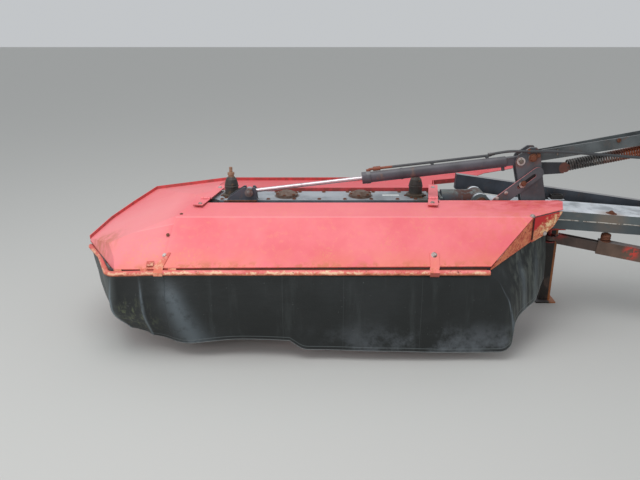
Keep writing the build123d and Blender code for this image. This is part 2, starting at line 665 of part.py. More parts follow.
# Weight spring from the lever to an eyebolt below the tie
SPRING_START = (1344.3, 888.7)
SPRING_END = (1880.0, 998.0)


def relief_spring():
    (x0, z0), (x1, z1) = SPRING_START, SPRING_END
    length = hypot(x1 - x0, z1 - z0)
    coil = rod("x", SPRING_R, length, (0, 0, 0))
    return Pos(x0, SPRING_Y, z0) * Rot(0, -degrees(atan2(z1 - z0, x1 - x0)), 0) * coil


def spring_anchor():
    """Eyebolt behind the spring and its plate below the tie."""
    (x0, z0), (x1, z1) = SPRING_START, SPRING_END
    turn = Rot(0, -degrees(atan2(z1 - z0, x1 - x0)), 0)
    bolt = Pos(x1, SPRING_Y, z1) * turn * rod("x", 9, 120, (0, 0, 0))
    plate = side([(1950, 985), (1962, 985), (1962, tie_under(1962)), (1950, tie_under(1950))], -60, 4)
    return bolt + plate


# Tie: tapered channel, open above, from the upright's top to the swing post
def tie():
    length = (POST_X - POST_R - TIE_PIN[0]) / cos(radians(TIE_TILT)) - 2
    half0, half1 = 20.0, 76.0
    drift = 55.0
    flare = 80.0
    outer = plan([(-34, -half0), (flare, -half0), (length, drift - half1), (length, drift + half1),
                  (flare, half0), (-34, half0)], -TIE_H / 2, TIE_H / 2)
    inner = plan([(-60, -half0 + 6), (flare, -half0 + 6), (length + 10, drift - half1 + 6),
                  (length + 10, drift + half1 - 6), (flare, half0 - 6), (-60, half0 - 6)],
                 -TIE_H / 2 + 6, TIE_H)
    channel = outer - inner
    channel -= rod("y", CYL_PIN_R, 60, (0, -30, 0))
    channel = Pos(TIE_PIN[0], CYL_Y, TIE_PIN[1]) * Rot(0, -TIE_TILT, 0) * channel
    return channel - rod("z", POST_R + 0.3, POST_TOP + 100, (POST_X, 0, 0))


def tie_under(x):
    return TIE_PIN[1] + (x - TIE_PIN[0]) * tan(radians(TIE_TILT)) - TIE_H / 2 / cos(radians(TIE_TILT))


# Swing frame: upright post on the swing pin, joined to the ends of both arms
POST_LOW = 468.0
POST_TOP = round(TIE_PIN[1] + (POST_X - TIE_PIN[0]) * tan(radians(TIE_TILT)) + 35)


def swing_frame():
    post = rod("z", POST_R, POST_TOP - POST_LOW, (POST_X, 0, POST_LOW))
    beam = box(REAR_ARM[1][0], POST_X, 112, 200, 512, 606)
    web = box(POST_X - 64, POST_X, 0, 200, 500, 620)
    return post + beam + web - rod("z", 20 + RUN_FIT, POST_TOP - POST_LOW + 40, (POST_X, 0, POST_LOW - 20))


def gearbox():
    case = box(ARM_END - 1, ARM_END + 166, -104, 104, 500, 716)
    boss = rod("y", 62, 27, (PTO_X, -131, PTO_Z))
    lid = rod("z", 70, 12, (PTO_X, 10, 716)) + rod("z", 12, 14, (PTO_X + 40, 60, 716))
    link_block = box(ARM_END + 158, ARM_END + 174, 20, 104, 520, 600)
    return case + boss + lid + link_block - rod("y", PTO_R + RUN_FIT, 90, (PTO_X, -132, PTO_Z))


def pto_stub():
    shaft = rod("y", PTO_R, 150, (PTO_X, -200, PTO_Z))
    collar = rod("y", 24, 7.7, (PTO_X, -139, PTO_Z))
    return shaft + collar


def pto_guard():
    outer = rod("y", 76, 84, (PTO_X, -212, PTO_Z)) - rod("y", 72, 80, (PTO_X, -214, PTO_Z))
    opening = box(PTO_X - 80, PTO_X + 80, -220, -134, PTO_Z - 90, PTO_Z - 30)
    return outer - rod("y", 62.3, 20, (PTO_X, -138, PTO_Z)) - opening


# Headstock: cross tube with hitch jaws, mast with the top-link jaws, and swing lugs
def cross_tube():
    half = HITCH_SPACING / 2
    tube = box(HITCH_X - half, HITCH_X + half, HITCH_Y - 40, HITCH_Y + 40, HITCH_Z - 40, HITCH_Z + 40)
    return tube - box(HITCH_X - half + 8, HITCH_X + half - 8, HITCH_Y - 33, HITCH_Y + 33, HITCH_Z - 33, HITCH_Z + 33)


def hitch_jaws(sign):
    """Two plates welded to the cross tube's face, bored in line for a lower link's pin."""
    x = HITCH_X + sign * HITCH_SPACING / 2 - sign * 42
    jaws = []
    for x0 in (x - 42, x + 27):
        plate = box(x0, x0 + 15, HITCH_AXIS_Y, HITCH_Y - 40, HITCH_Z - 38, HITCH_Z + 38)
        plate += rod("x", 38, 15, (x0, HITCH_AXIS_Y, HITCH_Z))
        jaws.append(plate - rod("x", HITCH_BORE_R, 20, (x0 - 2, HITCH_AXIS_Y, HITCH_Z)))
    return group(*jaws)


def mast():
    x = HITCH_X
    top = HITCH_Z + MAST_H + 70
    post = box(x - 50, x + 50, HITCH_Y + 40, -150, HITCH_Z - 40, top)
    post -= box(x - 43, x + 43, -212, -157, HITCH_Z - 33, top - 7)
    braces = []
    for sign in (-1, 1):
        foot = (x + sign * 330, HITCH_Z + 40)
        head = (x + sign * 40, HITCH_Z + MAST_H - 90)
        w = 26 * sign
        braces.append(side([foot, (foot[0] - 2 * w, foot[1]), (head[0] - w, head[1]), (head[0] + w, head[1])],
                           HITCH_Y + 26, HITCH_Y + 40))
    return group(post + top_link_jaws(), *braces)


def top_link_jaws():
    z = HITCH_Z + MAST_H
    jaws = None
    for x0 in (HITCH_X - 42, HITCH_X + 27):
        plate = box(x0, x0 + 15, HITCH_Y - 44, -218, z - 45, z + 45)
        plate -= rod("x", TOP_BORE_R, 20, (x0 - 2, HITCH_Y - 14, z))
        jaws = plate if jaws is None else jaws + plate
    return jaws


def swing_lugs():
    lugs = None
    for z0 in (POST_LOW - 18.5, POST_TOP + 0.5):
        lug = plan([(POST_X - 60, -150), (POST_X + 40, -150), (POST_X + 48, 10), (POST_X - 48, 10)], z0, z0 + 18)
        lug += rod("z", 48, 18, (POST_X, 0, z0))
        lug -= rod("z", 20 + RUN_FIT, 30, (POST_X, 0, z0 - 5))
        lugs = lug if lugs is None else lugs + lug
    return lugs


def swing_pin():
    return rod("z", 20, POST_TOP - POST_LOW + 60, (POST_X, 0, POST_LOW - 28)) + rod("z", 30, 10, (POST_X, 0, POST_TOP + 19))


# Break-away strut: outer channel on the cross tube, inner channel to the arm
STRUT_LEN = hypot(STRUT_ANCHOR[0] - STRUT_EYE[0], STRUT_ANCHOR[1] - STRUT_EYE[1])
STRUT_TURN = degrees(atan2(STRUT_EYE[1] - STRUT_ANCHOR[1], STRUT_EYE[0] - STRUT_ANCHOR[0]))
STRUT_RISE = degrees(atan2(STRUT_EYE[2] - STRUT_ANCHOR[2], STRUT_LEN))
OUTER_LEN = 540.0


def strut_frame(shape):
    """Puts a shape drawn from the anchor towards the eye along +X at its place."""
    return Pos(*STRUT_ANCHOR) * Rot(0, 0, STRUT_TURN) * Rot(0, -STRUT_RISE, 0) * shape


def strut_outer():
    tube = box(46, OUTER_LEN, -27, 27, -38, 38) - box(60, OUTER_LEN + 1, -20.3, 20.3, -28.3, 28.3)
    eye = Rot(0, STRUT_RISE, 0) * (rod("z", 26, 30, (0, 0, -15)) + box(0, 50, -24, 24, -12, 12))
    tube += eye
    return strut_frame(tube - Rot(0, STRUT_RISE, 0) * rod("z", STRUT_PIN_R + RUN_FIT, 50, (0, 0, -25)))


def strut_inner():
    full = hypot(STRUT_LEN, STRUT_EYE[2] - STRUT_ANCHOR[2])
    bar = box(180, full - 46, -20, 20, -28, 28) - box(170, full - 60, -14, 14, -22, 40)
    bar += box(full - 60, full - 10, -20, 20, -14, 14) + rod("z", 40, 24, (full, 0, -12))
    return strut_frame(bar - rod("z", 29, 30, (full, 0, -15)))


def arm_under(x):
    a = radians(ARM_TILT)
    return HINGE_Z - (x - HINGE_X) * tan(a) - (ARM_DROP + ARM_H) / cos(a)


def strut_bracket():
    """Hanger below the arm with the pin that the inner channel's eye rides on."""
    x, y, z = STRUT_EYE
    plate = box(x - 30, x + 74, y - 40, y + 40, z + 52, z + 62)
    for x0 in (x + 42, x + 64):
        plate += side([(x0, z + 54), (x0 + 10, z + 54), (x0 + 10, arm_under(x0 + 10)), (x0, arm_under(x0))],
                      y - 40, y + 40)
    pin = rod("z", STRUT_PIN_R, 84, (x, y, z - 27))
    return plate + pin + rod("z", 36, 5, (x, y, z - 27))


def strut_lug():
    """Jaws below the cross tube with the outer channel's pin."""
    x, y, z = STRUT_ANCHOR
    upper = box(x - 24, x + 60, y - 26, y + 26, z + 18, z + 28)
    lower = box(x - 24, x + 60, y - 26, y + 26, z - 28, z - 18)
    back = box(x + 48, x + 60, y - 26, y + 26, z - 28, HITCH_Z - 40)
    return upper + lower + back + rod("z", STRUT_PIN_R, 60, (x, y, z - 34))


# Support leg behind the arm, and the headstock's parking stand, each in its sleeve
def leg_sleeve():
    z0, z1 = 545.0, 650.0
    sleeve = box(LEG_X - 42, LEG_X + 42, ARM_REAR - 4, LEG_Y + 22, z0, z1)
    return sleeve - box(LEG_X - 34.5, LEG_X + 34.5, LEG_Y - 15.5, LEG_Y + 15.5, z0 - 1, z1 + 1)


def support_leg():
    tube = box(LEG_X - 34, LEG_X + 34, LEG_Y - 15, LEG_Y + 15, 8, 676)
    tube -= box(LEG_X - 29, LEG_X + 29, LEG_Y - 10, LEG_Y + 10, 14, 680)
    return tube + box(LEG_X - 60, LEG_X + 60, LEG_Y - 50, LEG_Y + 50, 0, 8)


def stand_sleeve():
    sleeve = box(STAND_X - 33, STAND_X + 33, STAND_Y - 32, STAND_Y + 33, 400, 528)
    return sleeve - box(STAND_X - 25.5, STAND_X + 25.5, STAND_Y - 25.5, STAND_Y + 25.5, 390, 570)


def parking_stand():
    tube = box(STAND_X - 25, STAND_X + 25, STAND_Y - 25, STAND_Y + 25, 8, 620)
    tube -= box(STAND_X - 20, STAND_X + 20, STAND_Y - 20, STAND_Y + 20, 14, 630)
    return tube + box(STAND_X - 70, STAND_X + 70, STAND_Y - 60, STAND_Y + 60, 0, 8)


# Hose along the tie, from the upright to its coupler on the swing post
def lift_hose():
    y = UPRIGHT_FRONT[0] - 7.8
    line = [(1090, y, 985), (1223, y, 984), (1409, y, 972), (1678, y + 8, 950), (1900, y + 14, 962),
            (2060, -106, 1015), (2180, -100, 1075)]
    return pipe(line, 7.5, 60) + hose_coupler()


def hose_coupler():
    return rod("x", 15, 60, (2176, -100, 1075))


LEFT, RIGHT = AXES_X
NODES = {
    "gearcase": gearcase(),
    "gearcase_neck": gearcase_neck(),
    "axle_caps": group(axle_cap(LEFT), axle_cap(RIGHT)),
    "spindles": group(spindle(LEFT), spindle(RIGHT)),
    "drum_left": drum(LEFT),
    "drum_right": drum(RIGHT),
    "knives_left": knives(LEFT),
    "knives_right": knives(RIGHT),
    "skid_left": skid(LEFT),
    "skid_right": skid(RIGHT),
    "front_guard": front_guard(),
    "side_flange": side_flange(),
    "lid_leaves": lid_leaves(),
    "strap_hinges": strap_hinges(),
    "left_guard": left_guard(),
    "rear_guard": rear_guard(),
    "rim_tube_front": rim_tube_front(),
    "rim_tube_left": rim_tube_left(),
    "curtain_front_left": curtain_front_left(),
    "curtain_front_right": curtain_front_right(),
    "curtain_left": curtain_left(),
    "curtain_right": curtain_right(),
    "rod_bracket": rod_bracket(),
    "lift_barrel": lift_barrel(),
    "lift_pipe": lift_pipe(),
    "lift_rod": lift_rod(),
    "rod_pin": rod_pin(),
    "main_arm": main_arm() + leg_sleeve() + strut_foot(),
    "hinge_pin": hinge_pin(),
    "rear_arm": rear_arm(),
    "upright": upright(*UPRIGHT_FRONT) + upright(*UPRIGHT_REAR) + upright_spacer(),
    "upright_pins": group(upright_pin(BARREL_PIN, -126, -46), upright_pin(TIE_PIN, -126, -46), strut_bolt()),
    "slotted_strut": slotted_strut(),
    "lever": lever(),
    "relief_spring": relief_spring(),
    "spring_anchor": spring_anchor(),
    "tie": tie(),
    "swing_frame": swing_frame(),
    "gearbox": gearbox(),
    "pto_stub": pto_stub(),
    "pto_guard": pto_guard(),
    "cross_tube": cross_tube() + stand_sleeve() + strut_lug(),
    "hitch_jaws_left": hitch_jaws(-1),
    "hitch_jaws_right": hitch_jaws(1),
    "mast": mast(),
    "swing_lugs": swing_lugs(),
    "swing_pin": swing_pin(),
    "strut_outer": strut_outer(),
    "strut_inner": strut_inner(),
    "strut_bracket": strut_bracket(),
    "support_leg": support_leg(),
    "parking_stand": parking_stand(),
    "lift_hose": lift_hose(),
}

# The row's origin: the middle of the footprint, on the floor
bounds = group(*NODES.values()).bounding_box()
SHIFT = (-(bounds.min.X + bounds.max.X) / 2, -(bounds.min.Y + bounds.max.Y) / 2, 0.0)

for name, shape in NODES.items():
    export_step(Pos(*SHIFT) * shape, f"parts/{name}.step")
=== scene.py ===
"""Looks of the parked two-drum mower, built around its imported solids."""
from math import radians

import bmesh
import bpy
import numpy as np
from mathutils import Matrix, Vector


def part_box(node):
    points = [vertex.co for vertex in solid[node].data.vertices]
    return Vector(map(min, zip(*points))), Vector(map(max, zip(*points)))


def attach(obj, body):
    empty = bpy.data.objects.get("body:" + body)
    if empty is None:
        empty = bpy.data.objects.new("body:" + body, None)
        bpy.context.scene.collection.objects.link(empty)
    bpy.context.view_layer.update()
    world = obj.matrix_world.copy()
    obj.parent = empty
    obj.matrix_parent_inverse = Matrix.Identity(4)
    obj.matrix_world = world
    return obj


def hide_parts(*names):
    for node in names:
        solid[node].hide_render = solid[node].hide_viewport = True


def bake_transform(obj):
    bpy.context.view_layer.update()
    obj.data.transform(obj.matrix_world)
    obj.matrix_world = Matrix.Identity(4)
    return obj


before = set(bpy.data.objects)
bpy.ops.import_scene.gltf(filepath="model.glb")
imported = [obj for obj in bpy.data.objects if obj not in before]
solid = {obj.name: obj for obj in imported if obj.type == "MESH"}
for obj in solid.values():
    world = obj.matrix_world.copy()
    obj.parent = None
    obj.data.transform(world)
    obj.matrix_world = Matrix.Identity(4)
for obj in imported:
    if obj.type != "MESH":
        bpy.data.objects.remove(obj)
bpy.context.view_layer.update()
scene = bpy.context.scene


# -------- Camera
# The mower is seen from in front and above, from 3.4 m before the gearcase, with the
# camera tipped 20 degrees down. Every place below is given from the point on the floor
# midway between the two drums.
skids = [corner for name in ("skid_left", "skid_right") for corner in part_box(name)]
MIDDLE = np.array([sum(c.x for c in skids) / 4, sum(c.y for c in skids) / 4, 0.0])


def at(points):
    """Places in the scene of a point, or of points, given from midway between the drums."""
    return np.array(points, float) + MIDDLE


camera = bpy.data.objects.new("camera", bpy.data.cameras.new("camera"))
SENSOR, FOCAL_SHARE, PITCH = 36.0, 634 / 640, 19.8
camera.data.sensor_width = SENSOR
camera.data.lens = FOCAL_SHARE * SENSOR
camera.location = at((-0.02, -3.443, 1.68))
camera.rotation_euler = (radians(90 - PITCH), 0, 0)
scene.collection.objects.link(camera)
scene.camera = camera


# -------- Floor and light
# A plain pale floor, an even white sky and broad soft lamps above and before the canopy,
# at which a colour renders about as it is written.
floor_paint = bpy.data.materials.new("pale_floor")
floor_paint.use_nodes = True
surface = floor_paint.node_tree.nodes["Principled BSDF"].inputs
surface["Base Color"].default_value = (0.60, 0.60, 0.58, 1)
surface["Roughness"].default_value = 0.9
surface["Specular IOR Level"].default_value = 0.1
REACH = 30
square = [(-REACH, -REACH, 0), (REACH, -REACH, 0), (REACH, REACH, 0), (-REACH, REACH, 0)]
floor_mesh = bpy.data.meshes.new("floor")
floor_mesh.from_pydata(square, [], [(0, 1, 2, 3)])
floor_mesh.materials.append(floor_paint)
floor = bpy.data.objects.new("floor", floor_mesh)
scene.collection.objects.link(floor)

world = bpy.data.worlds.new("studio")
world.use_nodes = True
sky = world.node_tree.nodes["Background"].inputs
sky["Color"].default_value = (0.94, 0.97, 1.0, 1)
sky["Strength"].default_value = 0.58
scene.world = world
scene.view_settings.view_transform = "Standard"


def soft_lamp(name, place, aim, size, energy):
    lamp = bpy.data.objects.new(name, bpy.data.lights.new(name, "AREA"))
    lamp.data.shape = "DISK"
    lamp.data.size = size
    lamp.data.energy = energy
    lamp.location = at(place)
    lamp.rotation_euler = Vector(at(aim) - at(place)).to_track_quat("-Z", "Y").to_euler()
    scene.collection.objects.link(lamp)


soft_lamp("sky_lamp", (-0.7, -1.5, 5.0), (0.4, 0, 0.6), 4.0, 110)
soft_lamp("front_lamp", (-3.0, -5.0, 2.2), (0.2, 0, 0.4), 3.0, 60)


# -------- Sheet-steel canopy
# Pressed sheets of 3 mm steel in red paint that the sun has bleached to pink. Rust creeps
# up from the rim in fine yellow specks, and deeper red patches are painted shade where the arm
# shades it.
class Finish:
    """A finish worked out on Object coordinates, which ends in one surface shader."""

    def __init__(self, name, roughness=0.5, metallic=0.0):
        self.material = bpy.data.materials.new(name)
        self.material.use_nodes = True
        self.tree = self.material.node_tree
        self.shader = self.tree.nodes["Principled BSDF"]
        self.shader.inputs["Roughness"].default_value = roughness
        self.shader.inputs["Metallic"].default_value = metallic
        source = self.add("ShaderNodeTexCoord")
        self.place, self.facing, self.cloth = (source.outputs[k] for k in ("Object", "Normal", "UV"))

    def add(self, kind, **settings):
        made = self.tree.nodes.new(kind)
        for key, value in settings.items():
            setattr(made, key, value)
        return made

    def feed(self, socket, value):
        """Joins an output to an input, or sets the input to a number or a screen colour."""
        if isinstance(value, bpy.types.NodeSocket):
            self.tree.links.new(value, socket)
        else:
            socket.default_value = (*paint(*value), 1) if isinstance(value, tuple) else value

    def noise(self, scale, detail=3.0, rough=0.6, stretch=None):
        """Noise of 0 to 1 with so many cells a metre, drawn out along an axis if stretched."""
        made = self.add("ShaderNodeTexNoise")
        made.inputs["Scale"].default_value = scale
        made.inputs["Detail"].default_value = detail
        made.inputs["Roughness"].default_value = rough
        place = self.place
        if stretch:
            turn = self.add("ShaderNodeMapping")
            turn.inputs["Scale"].default_value = stretch
            self.feed(turn.inputs["Vector"], place)
            place = turn.outputs["Vector"]
        self.feed(made.inputs["Vector"], place)
        return made.outputs["Fac"]

    def part(self, vector, axis):
        made = self.add("ShaderNodeSeparateXYZ")
        self.feed(made.inputs[0], vector)
        return made.outputs["XYZ".index(axis)]

    def sum(self, kind, a, b):
        made = self.add("ShaderNodeMath", operation=kind)
        self.feed(made.inputs[0], a)
        self.feed(made.inputs[1], b)
        return made.outputs[0]

    def both(self, *shares):
        """Product of shares of 0 to 1: the places that all of them reach."""
        found = shares[0]
        for share in shares[1:]:
            found = self.sum("MULTIPLY", found, share)
        return found

    def rise(self, value, low, high):
        """0 at low and 1 at high, smooth between; it falls when low is above high."""
        made = self.add("ShaderNodeMapRange", interpolation_type="SMOOTHSTEP")
        self.feed(made.inputs["Value"], value)
        ends = (*sorted((low, high)), *((0, 1) if low < high else (1, 0)))
        for key, end in zip(("From Min", "From Max", "To Min", "To Max"), ends):
            made.inputs[key].default_value = end
        return made.outputs["Result"]

    def mix(self, share, a, b):
        made = self.add("ShaderNodeMix", data_type="RGBA")
        self.feed(made.inputs[0], share)
        self.feed(made.inputs[6], a)
        self.feed(made.inputs[7], b)
        return made.outputs[2]

    def along(self, axis):
        """Object coordinate in metres from the middle between the drums."""
        return self.sum("SUBTRACT", self.part(self.place, axis), float(MIDDLE["XYZ".index(axis)]))

    def band(self, value, low, high, soft=0.004):
        """1 between low and high, fading out over a soft edge each side."""
        return self.both(self.rise(value, low - soft, low), self.rise(value, high + soft, high))

    def near(self, point, radius):
        """1 at a point, falling smoothly to 0 at the radius."""
        gap = self.add("ShaderNodeVectorMath", operation="DISTANCE")
        self.feed(gap.inputs[0], self.place)
        gap.inputs[1].default_value = at(point)
        return self.rise(gap.outputs["Value"], radius, radius * 0.25)

    def patches(self, low, high, *kind):
        """Patches of a kind of noise: 0 where it is under low and 1 where it is over high."""
        return self.rise(self.noise(*kind), low, high)

    def base(self, share, a, b):
        """Starts the colour: a where the share is 0 and b where it is 1."""
        self.color = self.mix(share, a, b)
        return self

    def cover(self, tint, *shares):
        """Lays a tint over the colour where all the shares reach."""
        self.color = self.mix(self.both(*shares), self.color, tint)

    def done(self, bump=None, depth=0.001, rough=None):
        self.feed(self.shader.inputs["Base Color"], self.color)
        if rough is not None:
            self.feed(self.shader.inputs["Roughness"], rough)
        if bump is not None:
            made = self.add("ShaderNodeBump")
            made.inputs["Strength"].default_value = 0.6
            made.inputs["Distance"].default_value = depth
            self.feed(made.inputs["Height"], bump)
            self.feed(self.shader.inputs["Normal"], made.outputs["Normal"])
        return self.material


def paint(red, green, blue, light=1.0):
    """Linear colour of one read off a screen, 0 to 255, dimmed by light."""
    values = np.array((red, green, blue)) / 255
    linear = np.where(values <= 0.04045, values / 12.92, ((values + 0.055) / 1.055) ** 2.4)
    return tuple(float(v) * light for v in linear)


BLEACHED, PINK, DEEP_RED = (250, 128, 134), (240, 106, 116), (212, 46, 58)
RUST, RUST_SPECK, RUST_DARK = (206, 116, 76), (236, 164, 104), (104, 54, 36)
FOLD, RIM, SHEET_TOP = -0.390, -0.585, 0.706


def canopy_paint(name, shade=0.0):
    """Bleached red, mottled, with soft rust above the front rim and a few flaked places."""
    f = Finish(name)
    x, y = f.along("X"), f.along("Y")
    f.base(f.patches(0.35, 0.65, 2.3, 4), BLEACHED, PINK)
    back = f.patches(0.40, 0.62, 5, 5, 0.7, (0.5, 1.6, 1))
    f.cover((222, 96, 88), f.rise(y, 0.10, 0.30), back, 0.5)
    # Paler above the fold, with a painted highlight along the fold's edge.
    f.cover((250, 140, 146), f.rise(y, FOLD - 0.002, FOLD + 0.002), 0.5)
    f.cover((255, 170, 172), f.band(y, FOLD - 0.002, FOLD + 0.001, 0.002), 0.5)
    f.cover((250, 164, 120), f.patches(0.5, 0.72, 34, 5, 0.7), 0.22)
    # Painted shade: deeper red patches where the arm shades the sheet.
    right = f.both(f.rise(x, 0.55, 1.0), f.rise(y, -0.36, -0.22))
    f.cover((216, 62, 66), right, f.patches(0.42, 0.6, 9, 5, 0.7, (1, 2.4, 1)), 0.6)
    f.cover((236, 120, 98), f.rise(x, 0.5, 1.1), f.patches(0.48, 0.62, 16, 5, 0.7), 0.4)
    f.cover((255, 168, 170), f.rise(x, -0.72, -0.84), f.rise(y, 0.3, -0.1), 0.35)
    # Painted shade: the rear guard, behind the gearcase, is made a deeper red.
    if shade:
        f.cover(DEEP_RED, shade)
    f.cover((240, 138, 100), f.rise(y, -0.49, RIM), f.patches(0.3, 0.6, 6, 4), 0.42)
    for point, radius, ragged in (((-0.88, -0.53, 0.53), 0.19, 60), ((-0.66, -0.55, 0.54), 0.11, 70),
                                  ((0.50, -0.43, 0.665), 0.09, 90), ((0.02, -0.535, 0.56), 0.06, 90),
                                  ((-0.20, -0.30, 0.71), 0.14, 90), ((0.52, -0.30, 0.71), 0.10, 90),
                                  ((1.02, -0.40, 0.70), 0.08, 60), ((0.33, -0.50, 0.60), 0.10, 90)):
        f.cover(RUST_SPECK, f.near(point, radius), f.patches(0.50, 0.70, ragged, 5, 0.75), 0.5)
    f.cover(RUST, f.rise(y, RIM + 0.035, RIM + 0.004), f.patches(0.46, 0.62, 22, 4, 0.7), 0.7)
    nose = f.near((-1.17, -0.37, 0.55), 0.20)
    f.cover((206, 118, 92), nose, f.patches(0.35, 0.60, 12, 4, 0.6, (2.4, 1, 1)), 0.8)
    shaded = f.mix(f.patches(0.4, 0.6, 20, 4, 0.7), (190, 62, 62), (136, 62, 50))
    f.cover(shaded, f.rise(f.part(f.facing, "Z"), 0.28, 0.12), 0.8)
    f.cover((170, 84, 62), f.patches(0.70, 0.76, 60, 4, 0.7), 0.7)
    return f.done(f.noise(26, 5), 0.0016, f.sum("ADD", 0.42, f.both(f.noise(8), 0.25)))


def wear(material, *names):
    """Gives solids their finish."""
    for name in names:
        solid[name].data.materials.clear()
        solid[name].data.materials.append(material)


canopy = canopy_paint("canopy_paint")
wear(canopy, "front_guard", "left_guard", "lid_leaves", "strap_hinges")
# The rear guard's deeper red is painted shade.
wear(canopy_paint("rear_canopy_paint", shade=0.5), "rear_guard")


# -------- Bolts of the canopy
# Hex bolts through the strap hinges and along the left seam, in worn plating or rust, each
# with its washer. The functions that shape small pieces start here.
def ring_faces(rings, sides):
    """Quads between neighbouring closed rings of so many points."""
    i, j = np.meshgrid(np.arange(rings - 1), np.arange(sides), indexing="ij")
    k = (j + 1) % sides
    quads = np.stack([i * sides + j, i * sides + k, (i + 1) * sides + k, (i + 1) * sides + j], -1)
    return quads.reshape(-1, 4)


def grid_faces(rows, columns):
    """Quads between neighbours of a grid of rows x columns vertices."""
    corner = (np.arange(rows - 1)[:, None] * columns + np.arange(columns - 1)).ravel()
    return np.c_[corner, corner + 1, corner + columns + 1, corner + columns]


def unit(vectors):
    return vectors / np.linalg.norm(vectors, axis=-1, keepdims=True)


def turned(rows, place, axis=(0, 0, 1), sides=24, hollow=False):
    """Surface of revolution: each row is a radius and a height along the axis, and the angle
    runs evenly round. Rows of no radius close its ends, and a hollow ring joins its last row
    to its first."""
    axis = unit(np.array(axis, float))
    side = unit(np.cross(axis, (0.0, 1.0, 0.0) if abs(axis[1]) < 0.9 else (1.0, 0.0, 0.0)))
    up = np.cross(axis, side)
    rows = [*rows, rows[0]] if hollow else [(0, rows[0][1]), *rows, (0, rows[-1][1])]
    rows = np.array(rows, float)
    angle = np.linspace(0, 2 * np.pi, sides, endpoint=False)[:, None]
    ring = side * np.cos(angle) + up * np.sin(angle)
    verts = at(place) + rows[:, 1, None, None] * axis + rows[:, 0, None, None] * ring
    return verts.reshape(-1, 3), ring_faces(len(rows), sides)


def carried(path, profile, side=(0, 1, 0), size=None):
    """A profile carried along a path: every path point holds the profile's points on two
    normals of the path, the first as near to side as can be; a ring of no size closes each end."""
    path, profile = at(path), np.array(profile, float)
    tangent = unit(np.gradient(path, axis=0))
    up = unit(np.cross(tangent, side))
    out = np.cross(up, tangent)
    size = np.r_[0, np.ones(len(path)) if size is None else size, 0]
    path, up, out = (np.r_[rows[:1], rows, rows[-1:]] for rows in (path, up, out))
    reach = out[:, None] * profile[:, 0, None] + up[:, None] * profile[:, 1, None]
    verts = path[:, None] + reach * size[:, None, None]
    return verts.reshape(-1, 3), ring_faces(len(path), len(profile))


def round_bar(radius, sides=12):
    """Circle of points for carried(): cosine and sine of even angles."""
    angle = np.linspace(0, 2 * np.pi, sides, endpoint=False)
    return np.c_[radius * np.cos(angle), radius * np.sin(angle)]


def flat_bar(width, thick):
    """Rectangle of points for carried(), wide along its first normal."""
    return np.array([(-width, -thick), (width, -thick), (width, thick), (-width, thick)]) / 2


def slab(outline, depth):
    """Plate: an outline ring, and the same ring moved by depth, each closed to its centre."""
    outline, depth = at(outline), np.array(depth, float)
    centre = np.broadcast_to(outline.mean(axis=0), outline.shape)
    rings = np.stack([centre, outline, outline + depth, centre + depth])
    return rings.reshape(-1, 3), ring_faces(4, len(outline))


def bolt(place, axis=(0, 0, 1), radius=0.0095, height=0.007, washer=1.35):
    """Hex head of six sides on a round washer; radius is across the head's corners."""
    head = [(radius, 0.0015), (radius, height * 0.8), (radius * 0.85, height)]
    disc = [(radius * washer, 0), (radius * washer, 0.0018), (radius * 0.9, 0.0022)]
    return [turned(disc, place, axis, 16), turned(head, place, axis, 6)]


def bolts(places, *args, **settings):
    """Bolts of one kind at places."""
    return sum((bolt(place, *args, **settings) for place in places), [])


def around(x, y, z, radius, start=0.0):
    """Six places round an upright axis: cosine and sine of even angles."""
    angles = np.arange(6) * np.pi / 3 + start
    return [(x + radius * np.cos(a), y + radius * np.sin(a), z) for a in angles]


def make_piece(name, parts, body, slot, material, bevel=0.0):
    """Object of joined parts, with their doubles merged and their faces turned outwards."""
    starts = np.cumsum([0, *(len(verts) for verts, faces in parts)])
    verts = np.concatenate([verts for verts, faces in parts])
    faces = np.concatenate([faces + start for (verts_, faces), start in zip(parts, starts)])
    mesh = bpy.data.meshes.new(name)
    mesh.from_pydata(verts.tolist(), [], faces.tolist())
    work = bmesh.new()
    work.from_mesh(mesh)
    bmesh.ops.remove_doubles(work, verts=work.verts, dist=1e-6)
    bmesh.ops.recalc_face_normals(work, faces=work.faces)
    work.to_mesh(mesh)
    work.free()
    mesh.polygons.foreach_set("use_smooth", np.full(len(mesh.polygons), True))
    mesh.set_sharp_from_angle(angle=radians(38))
    mesh.materials.append(material)
    made = bpy.data.objects.new(name, mesh)
    scene.collection.objects.link(made)
    if bevel:
        rounding = made.modifiers.new("edges", "BEVEL")
        rounding.width, rounding.segments = bevel, 2
    if body:
        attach(made, body)
    return made


def rusty_steel(name, rust=0.6, tint=(126, 118, 110), metallic=0.6):
    """Worn steel under brown rust, more of it as rust nears 1."""
    f = Finish(name, roughness=0.45, metallic=metallic)
    share = f.patches(0.62 - 0.3 * rust, 0.78 - 0.3 * rust, 12, 5, 0.7)
    f.base(share, tint, (112, 68, 48))
    f.cover(RUST_DARK, f.patches(0.6, 0.68, 55, 4, 0.7))
    return f.done(f.noise(70, 4), 0.001, f.sum("ADD", 0.4, f.both(share, 0.4)))


plated = rusty_steel("plated_steel", rust=0.45, tint=(190, 180, 176), metallic=0.2)
rusty = rusty_steel("rusty_steel", rust=1.0, tint=(130, 84, 62), metallic=0.1)
worn = rusty_steel("worn_steel")
ZINC, RUSTED = ("zinc", plated), ("worn_steel", rusty)
AHEAD, SLOPE, LEVEL = (0, -1, 0), (0, -0.714, 0.700), (0, -0.066, 0.998)
make_piece("lid_bolts", bolt((0.575, -0.222, 0.730)) + bolt((-0.650, -0.240, 0.730), radius=0.008)
           + bolt((0.5403, -0.540, 0.5565), SLOPE, 0.011), "lid", *ZINC)
make_piece("lid_screws", bolt((-0.7275, -0.3534, 0.7088), LEVEL, 0.0065, 0.004), "lid", *RUSTED)
make_piece("hinge_bolts", bolts([(0.628, 0.085, 0.730), (-0.594, 0.085, 0.730)]), "head", *ZINC)
make_piece("seam_screws", bolt((-0.7789, -0.4583, 0.6327), SLOPE, 0.0065, 0.004), "head", *RUSTED)
